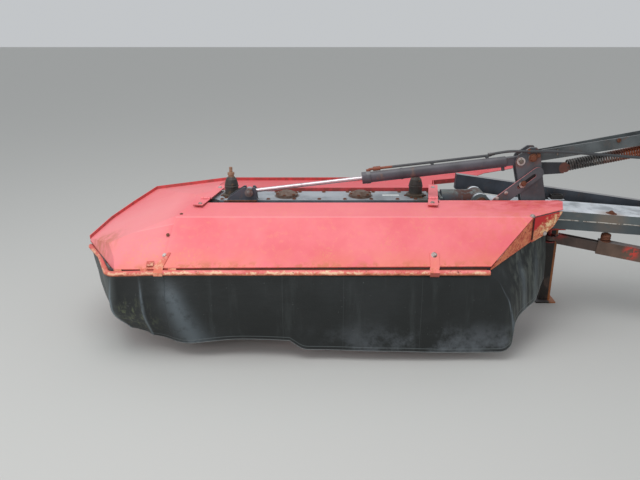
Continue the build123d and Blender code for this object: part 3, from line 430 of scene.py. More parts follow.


# -------- Rim tube and its tabs
# 27 mm pipe clamped below the sheets' front edge by bent tabs. Its upper side is pink, and
# its lower side has flaked to orange rust; pale cream flecks on it are partly primer and partly
# a painted highlight.
def tube_paint(name, upper, flaked=1.0):
    f = Finish(name, roughness=0.6)
    uneven = f.sum("SUBTRACT", f.noise(26, 5, 0.8), 0.5)
    ragged = f.sum("ADD", f.part(f.facing, "Z"), f.both(uneven, 2.6))
    f.base(f.patches(0.4, 0.62, 8, 4), upper, (222, 104, 98))
    f.cover((220, 124, 92), f.rise(ragged, 0.5, 0.0), flaked)
    # Pale cream flecks: partly primer, partly a painted highlight.
    primer_and_highlight = f.band(ragged, 0.0, 0.62, 0.2)
    f.cover((250, 204, 168), primer_and_highlight, f.patches(0.44, 0.58, 14, 5, 0.8), flaked)
    f.cover((122, 66, 44), f.rise(ragged, -0.2, -0.6), 0.8)
    f.cover(RUST_DARK, f.patches(0.60, 0.70, 44, 5, 0.75))
    return f.done(f.noise(80, 4), 0.002)


wear(tube_paint("rim_tube_paint", (248, 136, 132)), "rim_tube_front")
wear(tube_paint("rim_tube_left_paint", (214, 112, 98), 0.7), "rim_tube_left")


def slope_z(y):
    """Height of the front slope's face at a depth: a line from the fold down to the rim."""
    return SHEET_TOP + (y - FOLD) * 0.199 / (FOLD - RIM)


strip = [(x, -0.5822, 0.4965) for x in (-0.786, 0.0, 0.795)]
make_piece("curtain_strip", [carried(strip, flat_bar(0.0018, 0.0080))], "lid", "rusty_red",
           rusty_steel("strip_steel", 0.8, (120, 70, 54), 0.0))
tab_line = [(0.5415, y, slope_z(y) + 0.0025) for y in (-0.532, -0.556, -0.580)]
tab_line += [(0.5375, -0.5905, 0.502), (0.5365, -0.6125, 0.491), (0.5365, -0.6125, 0.474),
             (0.5365, -0.604, 0.4675)]
make_piece("rim_tab_right", [carried(tab_line, flat_bar(0.045, 0.004), (1, 0, 0))], "lid",
           "faded_red", canopy, 0.0008)
left_tab = [(x, y, slope_z(y) + 0.001) for x, y in (
    (-0.754, -0.531), (-0.766, -0.529), (-0.829, -0.583), (-0.784, -0.583))]
left_line = [(-0.806, y, z) for y, z in (
    (-0.578, 0.5175), (-0.592, 0.503), (-0.6125, 0.491), (-0.6125, 0.474))]
left_hook = carried(left_line, flat_bar(0.044, 0.004), (1, 0, 0))
make_piece("rim_tab_left", [slab(left_tab, (0, -0.003, 0.003)), left_hook], "lid", "rusty_red",
           tube_paint("tab_rust", (226, 118, 92), 0.5), 0.0008)
make_piece("rim_tab_bolts", bolt((-0.783, -0.541, 0.5555), SLOPE, 0.008), "lid", *ZINC)
lug = [(-0.868, -0.556, 0.5275), (-0.834, -0.556, 0.5285), (-0.834, -0.574, 0.5105),
       (-0.868, -0.574, 0.509)]
lug_bolt = bolt((-0.846, -0.563, 0.526), SLOPE, 0.006, 0.006)
make_piece("rim_lug", [slab(lug, (0, -0.004, 0.005)), *lug_bolt],
           "head", "rusty_red", tube_paint("lug_rust", (196, 92, 78), 0.8), 0.0006)


# -------- Side flange
# Turned-down side plates at the right end, rusted to orange. The second plate overlaps the
# first and has flaked to cream primer along its lower edge.
def flange_paint(name, flaked):
    f = Finish(name, roughness=0.7)
    x, z = f.along("X"), f.along("Z")
    f.base(f.patches(0.38, 0.62, 30, 5, 0.75), (226, 128, 92), (186, 78, 60))
    f.cover((240, 160, 112), f.patches(0.50, 0.62, 70, 4, 0.7), 0.6)
    f.cover((110, 54, 38), f.patches(0.62, 0.70, 48, 4, 0.7))
    if flaked:
        lean = f.both(f.sum("SUBTRACT", x, 1.10), 0.40)
        above = f.sum("SUBTRACT", f.sum("SUBTRACT", z, 0.650), lean)
        upper = f.sum("ADD", above, f.both(f.sum("SUBTRACT", f.noise(30, 5, 0.75), 0.5), 0.16))
        f.cover((252, 216, 164), f.patches(0.47, 0.60, 36, 5, 0.8), f.rise(x, 1.04, 1.14))
        f.cover((206, 44, 48), f.rise(upper, -0.012, 0.010))
    return f.done(f.noise(60, 4), 0.002)


inner_plate = [(0.815, -0.579, 0.493), (1.062, -0.390, 0.573), (1.062, -0.390, 0.701),
               (0.815, -0.579, 0.501)]
flange_sheet = make_piece("flange_sheet", [slab(inner_plate, (-0.0018, 0.0024, 0))], "lid",
                          "rusty_red", flange_paint("side_flange_paint", False))
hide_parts("side_flange")
corner, tip = np.array((1.064, -0.3925)), np.array((1.243, -0.2905))
plate = [(*(corner + (tip - corner) * along), z) for along, z in (
    (0, 0.569), (0.36, 0.589), (0.73, 0.631), (0.99, 0.697), (0.99, 0.7035), (0.5, 0.7015),
    (0, 0.6985))]
make_piece("flange_plate", [slab(plate, (-0.0015, 0.0026, 0))], "lid", "rusty_red",
           flange_paint("flange_plate_paint", True))
# A dark strip of painted shadow along the seam where the second plate overlaps the first.
f = Finish("seam_shadow", 0.9)
seam = [(1.0585, -0.3955, 0.582), (1.067, -0.3905, 0.585), (1.067, -0.3905, 0.698),
        (1.0585, -0.3955, 0.697)]
make_piece("flange_seam_shadow", [slab(seam, (0.0008, -0.0015, 0))], "lid", "rusty_red",
           f.base(f.noise(40), (54, 22, 20), (80, 34, 28)).done())
make_piece("flange_bolts", bolt((1.056, -0.384, 0.7075), (0, -0.3, 0.95), 0.010)
           + bolt((1.140, -0.352, 0.604), (0.495, -0.869, 0), 0.009), "lid", *ZINC)


# -------- End gap shade
# Dark sheet of painted shade that closes the gap between the left sheet and the gearcase,
# cut out round the gearcase's end.
v = np.linspace(-0.160, 0.112, 60)[:, None]
gap_shade_edge = -0.628 + np.clip((np.abs(v) - 0.046) * 1.03, 0, 0.052)
u = np.linspace(0, 1, 12)[None, :]
gap_shade_sheet = np.broadcast_arrays(-0.700 + (gap_shade_edge + 0.700) * u, v, 0.7035 + 0.0012 * np.sin(40 * v))
# The sheet's near-black colour is painted shade.
f = Finish("gap_shade_paint", roughness=0.7)
gap_shade_finish = f.base(f.noise(22, 4), (36, 36, 38), (66, 62, 60)).done(f.noise(90), 0.0008)
gap_shade_verts = at(np.stack(gap_shade_sheet, -1)).reshape(-1, 3)
gap_shade_piece = make_piece("end_gap_shade", [(gap_shade_verts, grid_faces(60, 12))], "head", "curtain",
                        gap_shade_finish)
gap_shade_piece.modifiers.new("thickness", "SOLIDIFY").thickness = 0.002


# -------- Gearcase and what stands on it
# Closed beam in blue-grey paint with a bolted lid, two rusty idler covers, and a dome with a
# stack of nuts over each axle.
AXLE_X, IDLER_X, CASE_TOP = 0.515, 0.206, 0.706


def blue_grey(name, dust_and_sheen=0.6, rust=1.0, light=1.0, more=None, pale=(188, 194, 200)):
    f = Finish(name, roughness=0.55)
    f.base(f.patches(0.35, 0.65, 5, 4), (112, 124, 132, light), (88, 98, 106, light))
    # Paler on top: partly dust, partly painted sky light.
    top = f.rise(f.part(f.facing, "Z"), 0.5, 0.95)
    lain = f.sum("ADD", 0.5, f.both(f.patches(0.3, 0.55, 7, 4), 0.5))
    f.cover(pale, top, lain, dust_and_sheen)
    f.cover((158, 128, 104), f.patches(0.58, 0.70, 11, 5, 0.7), 0.5 * rust)
    f.cover(RUST_DARK, f.patches(0.64, 0.70, 48, 4, 0.7), 0.7 * rust)
    if more:
        more(f)
    return f.done(f.noise(40, 4), 0.0015)


def idler_rust(f):
    for x in (-IDLER_X, IDLER_X):
        rust = f.mix(f.patches(0.4, 0.65, 30, 4, 0.7), (116, 98, 88), (92, 66, 52))
        f.cover(rust, f.rise(f.near((x, 0, 0.725), 0.088), 0.05, 0.3))
    f.cover((84, 80, 66), f.rise(f.along("X"), 0.40, 0.56), f.patches(0.46, 0.56, 9, 4, 0.7), 0.8)


def neck_rust(f):
    f.cover((92, 52, 42), f.near((0.80, 0, 0.70), 0.14), f.patches(0.4, 0.55, 26, 4, 0.7))


wear(blue_grey("gearcase_paint", dust_and_sheen=0.7, rust=0.7, more=idler_rust), "gearcase")
wear(blue_grey("neck_paint", light=0.7, more=neck_rust, pale=(146, 152, 146)), "gearcase_neck")
front_row = (-0.56, -0.435, -0.305, -0.162, -0.024, 0.1175, 0.263, 0.408, 0.508, 0.61)
rear_row = (-0.54, -0.39, -0.27, -0.135, 0.002, 0.138, 0.285, 0.434, 0.60)
lid_row = [(x, -0.072, CASE_TOP) for x in front_row] + [(x, 0.074, CASE_TOP) for x in rear_row]
round_row = around(-IDLER_X, 0, 0.7195, 0.054, 0.3) + around(IDLER_X, 0, 0.7195, 0.054, 0.3)
make_piece("lid_bolt_rows", bolts(lid_row, radius=0.0085, height=0.006)
           + bolts(round_row, radius=0.0075, height=0.006), "head", *RUSTED)
f = Finish("plate_white", roughness=0.4)
blank = [(x, y, CASE_TOP + 0.0002) for x, y in (
    (0.331, -0.008), (0.425, -0.008), (0.425, 0.020), (0.331, 0.020))]
make_piece("blank_plate", [slab(blank, (0, 0, 0.001))], "head", "worn_steel",
           f.base(f.patches(0.5, 0.7, 30, 4), (226, 232, 230), (170, 176, 174)).done())


def casting(name, dust_and_sheen=0.15, more=None):
    f = Finish(name, roughness=0.55)
    f.base(f.patches(0.35, 0.65, 9, 4), (70, 66, 62), (46, 44, 42))
    # Paler on top: partly dust, partly painted sky light.
    top = f.rise(f.part(f.facing, "Z"), 0.3, 0.9)
    f.cover((130, 122, 112), top, f.patches(0.4, 0.7, 18, 4), dust_and_sheen + 0.3)
    f.cover((112, 84, 60), f.patches(0.56, 0.66, 36, 5, 0.7), 0.7)
    if more:
        more(f)
    return f.done(f.noise(70, 4), 0.0015)


def nut_rust(f):
    rust = f.mix(f.noise(60, 3), (126, 92, 72), (170, 134, 108))
    f.cover(rust, f.rise(f.along("Z"), 0.812, 0.824))
    f.cover((96, 78, 60), f.rise(f.along("Z"), 0.735, 0.715), 0.5)


wear(casting("cap_casting", more=nut_rust), "axle_caps")
wear(casting("spindle_casting"), "spindles")
cap_row = around(-AXLE_X, 0, CASE_TOP, 0.0535) + around(AXLE_X, 0, CASE_TOP, 0.0535)
make_piece("cap_bolts", bolts(cap_row, radius=0.007, height=0.006), "head", *RUSTED)
for x, name in ((-AXLE_X, "cap_collar_left"), (AXLE_X, "cap_collar_right")):
    collar = [(0.0365, 0.052), (0.0395, 0.055), (0.0395, 0.060), (0.0365, 0.063)]
    make_piece(name, [turned(collar, (x, 0, CASE_TOP), sides=32)], "head", "casting",
               casting(name + "_casting"))


# -------- Graphite brackets and levers
# Rod bracket, upright, lever, slotted strut, tie, rear arm, stands and barrel: near-black
# paint that the weather has greyed, paler on top with dust and painted sky light, with rust in
# spots and reddish primer on edges.
def graphite(name, tone=(66, 70, 76), dust_and_sheen=0.6, rust=1.0, more=None):
    f = Finish(name)
    dark = tuple(c * 0.72 for c in tone)
    f.base(f.patches(0.3, 0.7, 7, 4), tone, dark)
    # Paler on top: partly dust, partly painted sky light.
    top = f.rise(f.part(f.facing, "Z"), 0.5, 0.9)
    f.cover((150, 150, 152), top, dust_and_sheen)
    f.cover((116, 90, 78), f.patches(0.56, 0.68, 13, 5, 0.7, (1, 1, 0.4)), 0.45 * rust)
    f.cover((120, 76, 56), f.patches(0.64, 0.71, 34, 5, 0.7), 0.8 * rust)
    if more:
        more(f)
    return f.done(f.noise(50, 4), 0.001)


def edge_wear(f):
    """Reddish primer on the faces that don't look forwards or back."""
    sideways = f.rise(f.sum("ABSOLUTE", f.part(f.facing, "Y"), 0.0), 0.6, 0.3)
    f.cover((206, 126, 128), sideways, 0.85)


def boss_rust(f):
    rust = f.mix(f.noise(50, 3), (122, 72, 60), (92, 56, 46))
    f.cover(rust, f.rise(f.near((1.321, -0.05, 0.877), 0.050), 0.25, 0.5))


def upright_rust(f):
    near = f.sum("ADD", f.near((1.10, -0.12, 0.97), 0.10), f.near((1.05, -0.12, 0.93), 0.05))
    f.cover((118, 74, 62), near, f.patches(0.42, 0.58, 16, 4, 0.7, (1, 1, 0.3)), 0.8)


def leg_rust(f):
    rust = f.mix(f.noise(22, 4, 0.7), (196, 122, 66), (134, 72, 40))
    f.cover(rust, f.rise(f.along("X"), 1.381, 1.386), f.rise(f.along("Z"), 0.62, 0.56))


wear(graphite("bracket_paint", (76, 80, 90), dust_and_sheen=0.3), "rod_bracket")
wear(graphite("upright_paint", (90, 94, 100), rust=0.6, more=upright_rust), "upright")
wear(graphite("lever_paint", (60, 62, 68), dust_and_sheen=0.5, more=boss_rust), "lever")
wear(graphite("strut_paint", (90, 92, 98), rust=0.9, more=edge_wear), "slotted_strut")
wear(graphite("tie_paint", (98, 104, 106), dust_and_sheen=0.7, rust=0.5), "tie")
wear(graphite("rear_arm_paint", (72, 78, 88), dust_and_sheen=1.0, rust=0.6), "rear_arm")
wear(graphite("leg_paint", (40, 32, 26), dust_and_sheen=0.3, rust=0.9, more=leg_rust), "support_leg")
wear(graphite("stand_paint", (80, 82, 86)), "parking_stand")
wear(graphite("barrel_paint", (88, 84, 92), dust_and_sheen=0.25, rust=1.3), "lift_barrel")
bead = [(-0.545 + 0.012 * k, -0.1175 + 0.0012 * np.sin(9 * k), 0.7085) for k in range(16)]
bead_size = 1 + 0.25 * np.sin(np.arange(16) * 2.3)
make_piece("bracket_weld", [carried(bead, round_bar(0.0042, 8), size=bead_size)], "head",
           "rusty_red", rusty)
bracket_holes = [(-0.515, -0.099, 0.716), (-0.372, -0.099, 0.716)]
make_piece("bracket_bolts", bolts(bracket_holes, radius=0.008), "head", *ZINC)
slot_line = [(1.052, -0.1225, 0.791), (1.146, -0.1225, 0.869)]
rim_line = [(1.044, -0.1222, 0.784), (1.154, -0.1222, 0.876)]
make_piece("slot_rim", [carried(rim_line, flat_bar(0.0006, 0.046))], "arm", "rusty_red",
           rusty_steel("slot_rim_steel", 0.7, (150, 96, 92), 0.1))
# A near-black strip of painted shade fills the slot.
make_piece("slot_shadow", [carried(slot_line, flat_bar(0.0006, 0.034))], "arm", "graphite",
           graphite("slot_painted_shade", (22, 18, 17), dust_and_sheen=0.0, rust=0.2))
make_piece("strut_bolts", bolt((0.9856, -0.1325, 0.758), AHEAD, 0.008)
           + bolt((0.938, -0.1325, 0.727), AHEAD, 0.009), "arm", *ZINC)
make_piece("slot_bolt", bolt((1.073, -0.1375, 0.812), AHEAD, 0.0115, 0.010), "arm", *RUSTED)
make_piece("barrel_pin_end", bolt((1.052, -0.1265, 0.929), AHEAD), "arm", "worn_steel", worn)
make_piece("tie_pin_nuts", bolt((1.112, -0.127, 0.950), AHEAD, 0.017, 0.012)
           + bolt((1.088, -0.125, 0.985), AHEAD, 0.010) + bolt((1.140, -0.125, 0.962), AHEAD, 0.009),
           "arm", *RUSTED)
stud = turned([(0.005, 0), (0.005, 0.022), (0.007, 0.023), (0.007, 0.030)], (1.245, -0.112, 0.962),
              sides=12)
make_piece("tie_studs", [stud, *bolt((1.560, -0.112, 1.040), AHEAD, 0.009)], "arm",
           "worn_steel", worn)


# -------- Lift rod and its pipe
# Chromed rod with a little grime, and its gland and pin's washer. A steel pipe runs back
# along the barrel from a rusty elbow, and a rubber hose goes on over the pivot to the tie.
f = Finish("chrome", roughness=0.30, metallic=0.8)
wear(f.base(f.patches(0.5, 0.8, 30, 3), (214, 202, 206), (176, 162, 166)).done(), "lift_rod")
f = Finish("pipe_paint")
elbow = f.both(f.rise(f.along("X"), 0.375, 0.365), f.patches(0.25, 0.4, 34, 4, 0.7))
f.base(f.noise(24), (60, 62, 66), (88, 88, 90))
f.cover((136, 74, 52), elbow)
wear(f.done(f.noise(60), 0.001), "lift_pipe")
f = Finish("hose_rubber")
hose_finish = f.base(f.noise(20), (52, 54, 58), (78, 80, 82)).done(f.noise(200), 0.0005)
wear(hose_finish, "lift_hose")


def through(points, marks, where):
    """Smooth line through points at marks, or rows of points: a piecewise cubic whose slope at
    a point is the harmonic mean of the slopes beside it, and level where those turn round."""
    points, marks = np.array(points, float), np.array(marks, float)
    shape = (-1,) + (1,) * (points.ndim - 1)
    steps = np.diff(points, axis=0) / np.diff(marks).reshape(shape)
    product, total = steps[:-1] * steps[1:], steps[:-1] + steps[1:]
    mean = np.where(product > 0, 2 * product / np.where(product > 0, total, 1), 0)
    slopes = np.concatenate([steps[:1], mean, steps[-1:]])
    i = np.clip(np.searchsorted(marks, where, side="right") - 1, 0, len(marks) - 2)
    h = (marks[i + 1] - marks[i]).reshape(shape)
    t = ((where - marks[i]) / (marks[i + 1] - marks[i])).reshape(shape)
    return ((2 * t**3 - 3 * t**2 + 1) * points[i] + (t**3 - 2 * t**2 + t) * h * slopes[i]
            + (3 * t**2 - 2 * t**3) * points[i + 1] + (t**3 - t**2) * h * slopes[i + 1])


def spread(points, count):
    """Evenly spaced places on the smooth line through points."""
    marks = np.r_[0, np.cumsum(np.linalg.norm(np.diff(np.array(points, float), axis=0), axis=1))]
    return through(points, marks, np.linspace(0, marks[-1], count))


jumper = spread([(0.905, -0.073, 0.9585), (0.950, -0.078, 0.968), (1.000, -0.098, 0.979),
                 (1.045, -0.122, 0.9845), (1.096, -0.1278, 0.985)], 60)
hose_bridge = make_piece("hose_bridge", [carried(jumper, round_bar(0.0072))], None, "hose",
                         hose_finish)
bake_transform(hose_bridge)
nipple = [(0.0085, 0), (0.0105, 0.001), (0.0105, 0.018), (0.0090, 0.019), (0.0090, 0.034)]
make_piece("hose_nipple", [turned(nipple, (0.886, -0.073, 0.9545), (0.97, 0, 0.205), 16)], "barrel",
           "graphite", graphite("nipple_paint", (70, 66, 66)))
gland = [(0.0280, 0), (0.0325, 0), (0.0335, 0.002), (0.0335, 0.022), (0.0325, 0.024),
         (0.0280, 0.024)]
gland_ring = turned(gland, (0.2315, -0.085, 0.8315), (0.986, 0, 0.117), 32, hollow=True)
make_piece("barrel_gland", [gland_ring], "barrel", "graphite", graphite("gland_paint", (84, 82, 88)))
washer = [(0.0225, 0), (0.0225, 0.003), (0.0130, 0.0034), (0.0130, 0.0075), (0.0115, 0.0085)]
make_piece("rod_pin_washer", [turned(washer, (-0.406, -0.122, 0.756), AHEAD, 28)], "ram", "zinc",
           rusty_steel("pin_washer_steel", 0.3, (112, 108, 106), 0.3))


# -------- Main arm
# Box section of two folded channels, welded along its sides. Its top is pale with dust and
# painted sky light, its lower face is darkened with painted shade, and rust spreads on its
# side below the nut. The frames at its end wear the same blue-grey.
HINGE_X, HINGE_Z, ARM_TILT, WELD_UP = 0.862, 0.692, radians(4.6), -0.053


def arm_stain_and_shade(f):
    x, z = f.along("X"), f.along("Z")
    below = f.near((1.580, -0.12, 0.580), 0.125)
    f.cover((156, 126, 106), below, f.patches(0.3, 0.5, 14, 4, 0.7), 0.8)
    low = f.sum("ADD", z, f.both(f.sum("SUBTRACT", x, HINGE_X), 0.0805))
    f.cover((92, 98, 92), f.rise(f.part(f.facing, "Z"), 0.6, 0.4), 0.5)
    # Painted shade: the arm's lower face is made darker below a line that follows its tilt.
    f.cover((58, 66, 72), f.rise(low, 0.636, 0.630), 0.5)


def arm_place(along, up, y):
    """Place given along the arm from the lift hinge and up from the hinge's level."""
    cos, sin = np.cos(ARM_TILT), np.sin(ARM_TILT)
    return HINGE_X + along * cos + up * sin, y, HINGE_Z - along * sin + up * cos


wear(blue_grey("arm_paint", dust_and_sheen=1.0, rust=0.6, light=0.85, more=arm_stain_and_shade, pale=(232, 238, 244)),
     "main_arm")
for name in ("swing_frame", "cross_tube", "mast", "swing_lugs", "hitch_jaws_left",
             "hitch_jaws_right"):
    wear(blue_grey(name + "_paint", dust_and_sheen=0.8, rust=0.9), name)
f = Finish("weld_paint")
f.base(f.patches(0.45, 0.6, 30, 4, 0.7), (196, 192, 184), (130, 118, 108))
weld_lines = [[arm_place(a, WELD_UP + 0.0008 * np.sin(40 * a), -0.1205)
               for a in np.linspace(*ends, 40)]
              for ends in ((0.33, 0.55), (0.575, 0.78), (0.80, 1.17))]
weld_lines.append([arm_place(a, WELD_UP, 0.1105) for a in np.linspace(0.30, 1.17, 60)])
welds = [carried(line, round_bar(0.0028, 8)) for line in weld_lines]
make_piece("arm_welds", welds, "arm", "blue_grey", f.done(f.noise(200), 0.001))
ARM_UP = (0.08, 0, 0.997)
nut_place = arm_place(0.735, -0.005, -0.088)
nut_end = turned([(0.009, 0.008), (0.009, 0.014), (0.007, 0.016)], nut_place, ARM_UP, 12)
make_piece("arm_nut", [*bolt(nut_place, ARM_UP, 0.017, 0.010, 1.7), nut_end], "arm", *RUSTED)
arm_end = [arm_place(1.10, -0.005, y) for y in (-0.09, 0.08)]
make_piece("arm_end_bolts", bolts(arm_end, ARM_UP, 0.010, 0.008), "arm", *ZINC)
make_piece("hinge_nuts", bolt((HINGE_X, -0.106, HINGE_Z), AHEAD, 0.022, 0.016, 1.3)
           + bolt((HINGE_X, 0.214, HINGE_Z), (0, 1, 0), 0.024, 0.016), "arm", *RUSTED)
wear(worn, "knives_left", "knives_right", "skid_left", "skid_right", "hinge_pin", "spring_anchor",
     "swing_pin")
wear(plated, "rod_pin", "upright_pins")


# -------- Relief spring
# Coil of blackened 11 mm wire from the lever's boss to the eyebolt, rusted towards the
# eyebolt, with its ends bent to the middle.
def coil_spring(start, end, coil_r, wire_r, turns):
    """Helix about the line from start to end: the angle runs evenly, and the radius follows
    a quarter sine over the first and last part of a turn, where the wire bends to the middle."""
    start, end = np.array(start), np.array(end)
    axis = unit(end - start)
    length = np.linalg.norm(end - start)
    u = unit(np.cross(axis, (0, 1, 0)))
    t = np.linspace(0, 1, turns * 20)
    angle = 2 * np.pi * turns * t
    r = coil_r * np.sin(np.clip(np.minimum(t, 1 - t) * turns / 0.6, 0, 1) * np.pi / 2)
    turn = u * np.cos(angle)[:, None] + np.cross(axis, u) * np.sin(angle)[:, None]
    path = start + axis * (length * t)[:, None] + turn * r[:, None]
    return carried(path, round_bar(wire_r, 9), axis)


f = Finish("spring_steel", metallic=0.25)
f.base(f.patches(0.45, 0.7, 25, 3), (66, 64, 64), (112, 104, 98))
# Paler on top of the wire: partly dust, partly painted sky light.
f.cover((150, 148, 146), f.rise(f.part(f.facing, "Z"), 0.2, 0.9), 0.6)
far = f.sum("ADD", f.along("X"), f.both(f.noise(7, 3), 0.22))
f.cover(f.mix(f.noise(18, 3), (178, 100, 66), (128, 66, 46)), f.rise(far, 1.62, 1.76))
coil = coil_spring((1.330, -0.028, 0.8855), (1.886, -0.028, 0.999), 0.0265, 0.0055, 41)
spring = make_piece("relief_spring_coil", [coil], "arm", "spring_steel", f.done(f.noise(80), 0.0005))
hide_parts("relief_spring")


# -------- Break-away strut
# Two nested channels below the arm, browned by rust, with a sprung bolt that sets the load
# at which they slide, and remains of red paint.
def red_remains(f):
    for point, radius in (((1.345, -0.02, 0.52), 0.08), ((1.700, -0.165, 0.425), 0.055),
                          ((1.78, 0.02, 0.47), 0.05)):
        f.cover((206, 62, 50), f.near(point, radius), f.patches(0.42, 0.5, 26, 4, 0.7))


wear(graphite("strut_outer_paint", (112, 88, 74), dust_and_sheen=0.45, more=red_remains), "strut_outer")
wear(graphite("strut_inner_paint", (92, 74, 66), dust_and_sheen=0.4, rust=1.2, more=red_remains),
     "strut_inner")
wear(graphite("strut_bracket_paint", (150, 52, 46), dust_and_sheen=0.1, rust=0.8, more=red_remains),
     "strut_bracket")
strut_near, strut_far = np.array((1.300, 0.0, 0.462)), np.array((2.050, -0.260, 0.382))
stem_foot = strut_far - unit(strut_far - strut_near) * 0.500 + np.array((0, 0, 0.0385))
turns = np.linspace(0, 2 * np.pi * 3, 90)
rising = np.linspace(0.008, 0.036, 90)
helix = stem_foot + np.c_[0.023 * np.cos(turns), 0.023 * np.sin(turns), rising]
sprung = [turned([(0.030, 0), (0.030, 0.004)], stem_foot),
          carried(helix, round_bar(0.0045, 8), (0, 0, 1)),
          turned([(0.009, 0), (0.009, 0.046), (0.007, 0.048)], stem_foot, sides=12)]
make_piece("strut_spring_bolt", sprung + bolt(stem_foot + (0, 0, 0.039), radius=0.017, washer=1.5),
           "strut_tube", *RUSTED)


# -------- Gearbox and input shaft
# Cast bevel gearbox on the arm's end, with bolted covers, ribs and a splined input shaft
# under a black guard.
wear(casting("gearbox_casting", dust_and_sheen=0.3), "gearbox")
ARM_TIP = HINGE_X + 1.180
SHAFT_R, GROOVE_R, SHAFT_Z = 0.01745, 0.0148, 0.640
shaft_x = ARM_TIP + 0.083
box_bolts = around(shaft_x, 0.010, 0.728, 0.058)
box_bolts += [(x, y, 0.716) for x in (ARM_TIP + 0.012, ARM_TIP + 0.154) for y in (-0.09, 0.09)]
make_piece("gearbox_bolts", bolts(box_bolts, radius=0.0085), "arm", *ZINC)
ribs = [slab([(x, -0.1035, 0.505), (x + 0.010, -0.1035, 0.505), (x + 0.010, -0.1035, 0.570),
              (x, -0.1035, 0.570)], (0, -0.010, 0))
        for x in ARM_TIP + np.array((0.035, 0.078, 0.121))]
make_piece("gearbox_ribs", ribs, "arm", "casting", casting("rib_casting", dust_and_sheen=0.3), 0.002)
angle = np.linspace(0, 2 * np.pi, 96, endpoint=False)
teeth = np.where(np.cos(6 * angle) > 0.1, SHAFT_R, GROOVE_R)
shaft_path = [(shaft_x, y, SHAFT_Z)
              for y in (-0.200, -0.198, -0.185, -0.182, -0.177, -0.174, -0.141)]
spline = carried(shaft_path, np.c_[teeth * np.cos(angle), teeth * np.sin(angle)], (1, 0, 0),
                 size=(0.9, 1, 1, 0.86, 0.86, 1, 1))
collar_rows = [(0.024, 0), (0.024, 0.0072), (0.020, 0.0077)]
shaft_parts = [spline, turned(collar_rows, (shaft_x, -0.1313, SHAFT_Z), AHEAD, 32),
               turned([(SHAFT_R, 0), (SHAFT_R, 0.085)], (shaft_x, -0.050, SHAFT_Z), AHEAD, 32)]
shaft = make_piece("input_shaft_splines", shaft_parts, "input_shaft", "worn_steel",
                   rusty_steel("shaft_steel", 0.15, (168, 164, 158), 0.7))
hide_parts("pto_stub")
f = Finish("guard_plastic", roughness=0.45)
wear(f.base(f.noise(12), (40, 41, 42), (62, 62, 62)).done(f.noise(120), 0.0006), "pto_guard")


# -------- Headstock fittings
# A grease nipple on the swing pin, the ringed pin that holds the parking stand in its
# sleeve, and the bolts at the feet of the mast's braces.
post_x = ARM_TIP + 0.238
mast_x = post_x - 0.020
post_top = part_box("swing_pin")[1].z
nipple = turned([(0.005, 0), (0.005, 0.006), (0.003, 0.008), (0.0042, 0.011), (0.003, 0.014)],
                (post_x, 0, post_top), sides=12)
make_piece("swing_nipple", [nipple], "headstock", *ZINC)
stand_x = mast_x + 0.300
pin_rows, head_rows = [(0.008, 0), (0.008, 0.088), (0.006, 0.090)], [(0.014, 0), (0.014, 0.005)]
stand_pin = [turned(rows, (stand_x, -0.232, 0.500), (0, 1, 0), 16) for rows in (pin_rows, head_rows)]
loop = [(stand_x + 0.022 * np.cos(a), -0.236 - 0.004 * np.sin(a), 0.486 + 0.022 * np.sin(a))
        for a in np.linspace(0.2, 6.0, 40)]
make_piece("stand_pin", [*stand_pin, carried(loop, round_bar(0.0022, 8))], "headstock", *ZINC)
brace_feet = [(mast_x + dx, -0.234, 0.548) for dx in (-0.30, 0.30)]
make_piece("brace_bolts", bolts(brace_feet, AHEAD, 0.011, 0.009), "headstock", *ZINC)


# -------- Drums and skids
# Red drums whose paint the crop has polished away low down. Six rusty bolts hold each skid
# from below.
f = Finish("drum_paint")
f.base(f.patches(0.35, 0.65, 6, 4), (176, 44, 46), (140, 34, 38))
low = f.rise(f.sum("ADD", f.along("Z"), f.both(f.noise(8, 4), 0.1)), 0.30, 0.16)
polished = f.mix(f.noise(30, 4), (150, 142, 134), (120, 88, 68))
f.cover(polished, low, f.patches(0.35, 0.6, 14, 5, 0.7), 0.9)
wear(f.done(f.noise(40, 4), 0.0012), "drum_left", "drum_right")
for side, x in (("left", -AXLE_X), ("right", AXLE_X)):
    make_piece("skid_bolts_" + side, bolts(around(x, 0, 0.006, 0.150), radius=0.010),
               "skid_" + side[0], *RUSTED)


# -------- Curtain
# Black coated canvas of 3 mm that hangs from behind the rim tube to near the ground. It is
# drawn in under the left corner, turns the right one in a sharp fold, and has a sewn hem.
f = Finish("canvas")
up = f.part(f.cloth, "Y")  # V is metres up from the hem
f.base(f.patches(0.35, 0.7, 3.1, 4), (16, 21, 21), (30, 34, 35))
x = f.along("X")
f.cover((72, 78, 78), f.patches(0.5, 0.8, 6, 4, 0.6, (3, 3, 0.4)), 0.3)
# Painted light: the left end panel is made grey where it faces the light.
f.cover((88, 94, 94), f.rise(x, -1.02, -1.07), f.patches(0.2, 0.6, 8, 4, 0.6, (2, 2, 0.7)), 0.8)
dusty = f.both(f.patches(0.42, 0.66, 6, 5, 0.7), f.rise(f.along("Z"), 0.26, 0.08))
f.cover((104, 110, 116), dusty, f.rise(x, -0.4, 0.6), 0.6)
moss = f.near((-0.96, -0.53, 0.22), 0.17)
f.cover((104, 112, 84), moss, f.patches(0.48, 0.66, 20, 4, 0.7, (2, 2, 0.8)), 0.6)
side = f.patches(0.40, 0.70, 14, 3, 0.6, (3, 3, 0.25))
f.cover((108, 114, 106), f.rise(x, 0.90, 0.97), side, 0.45)
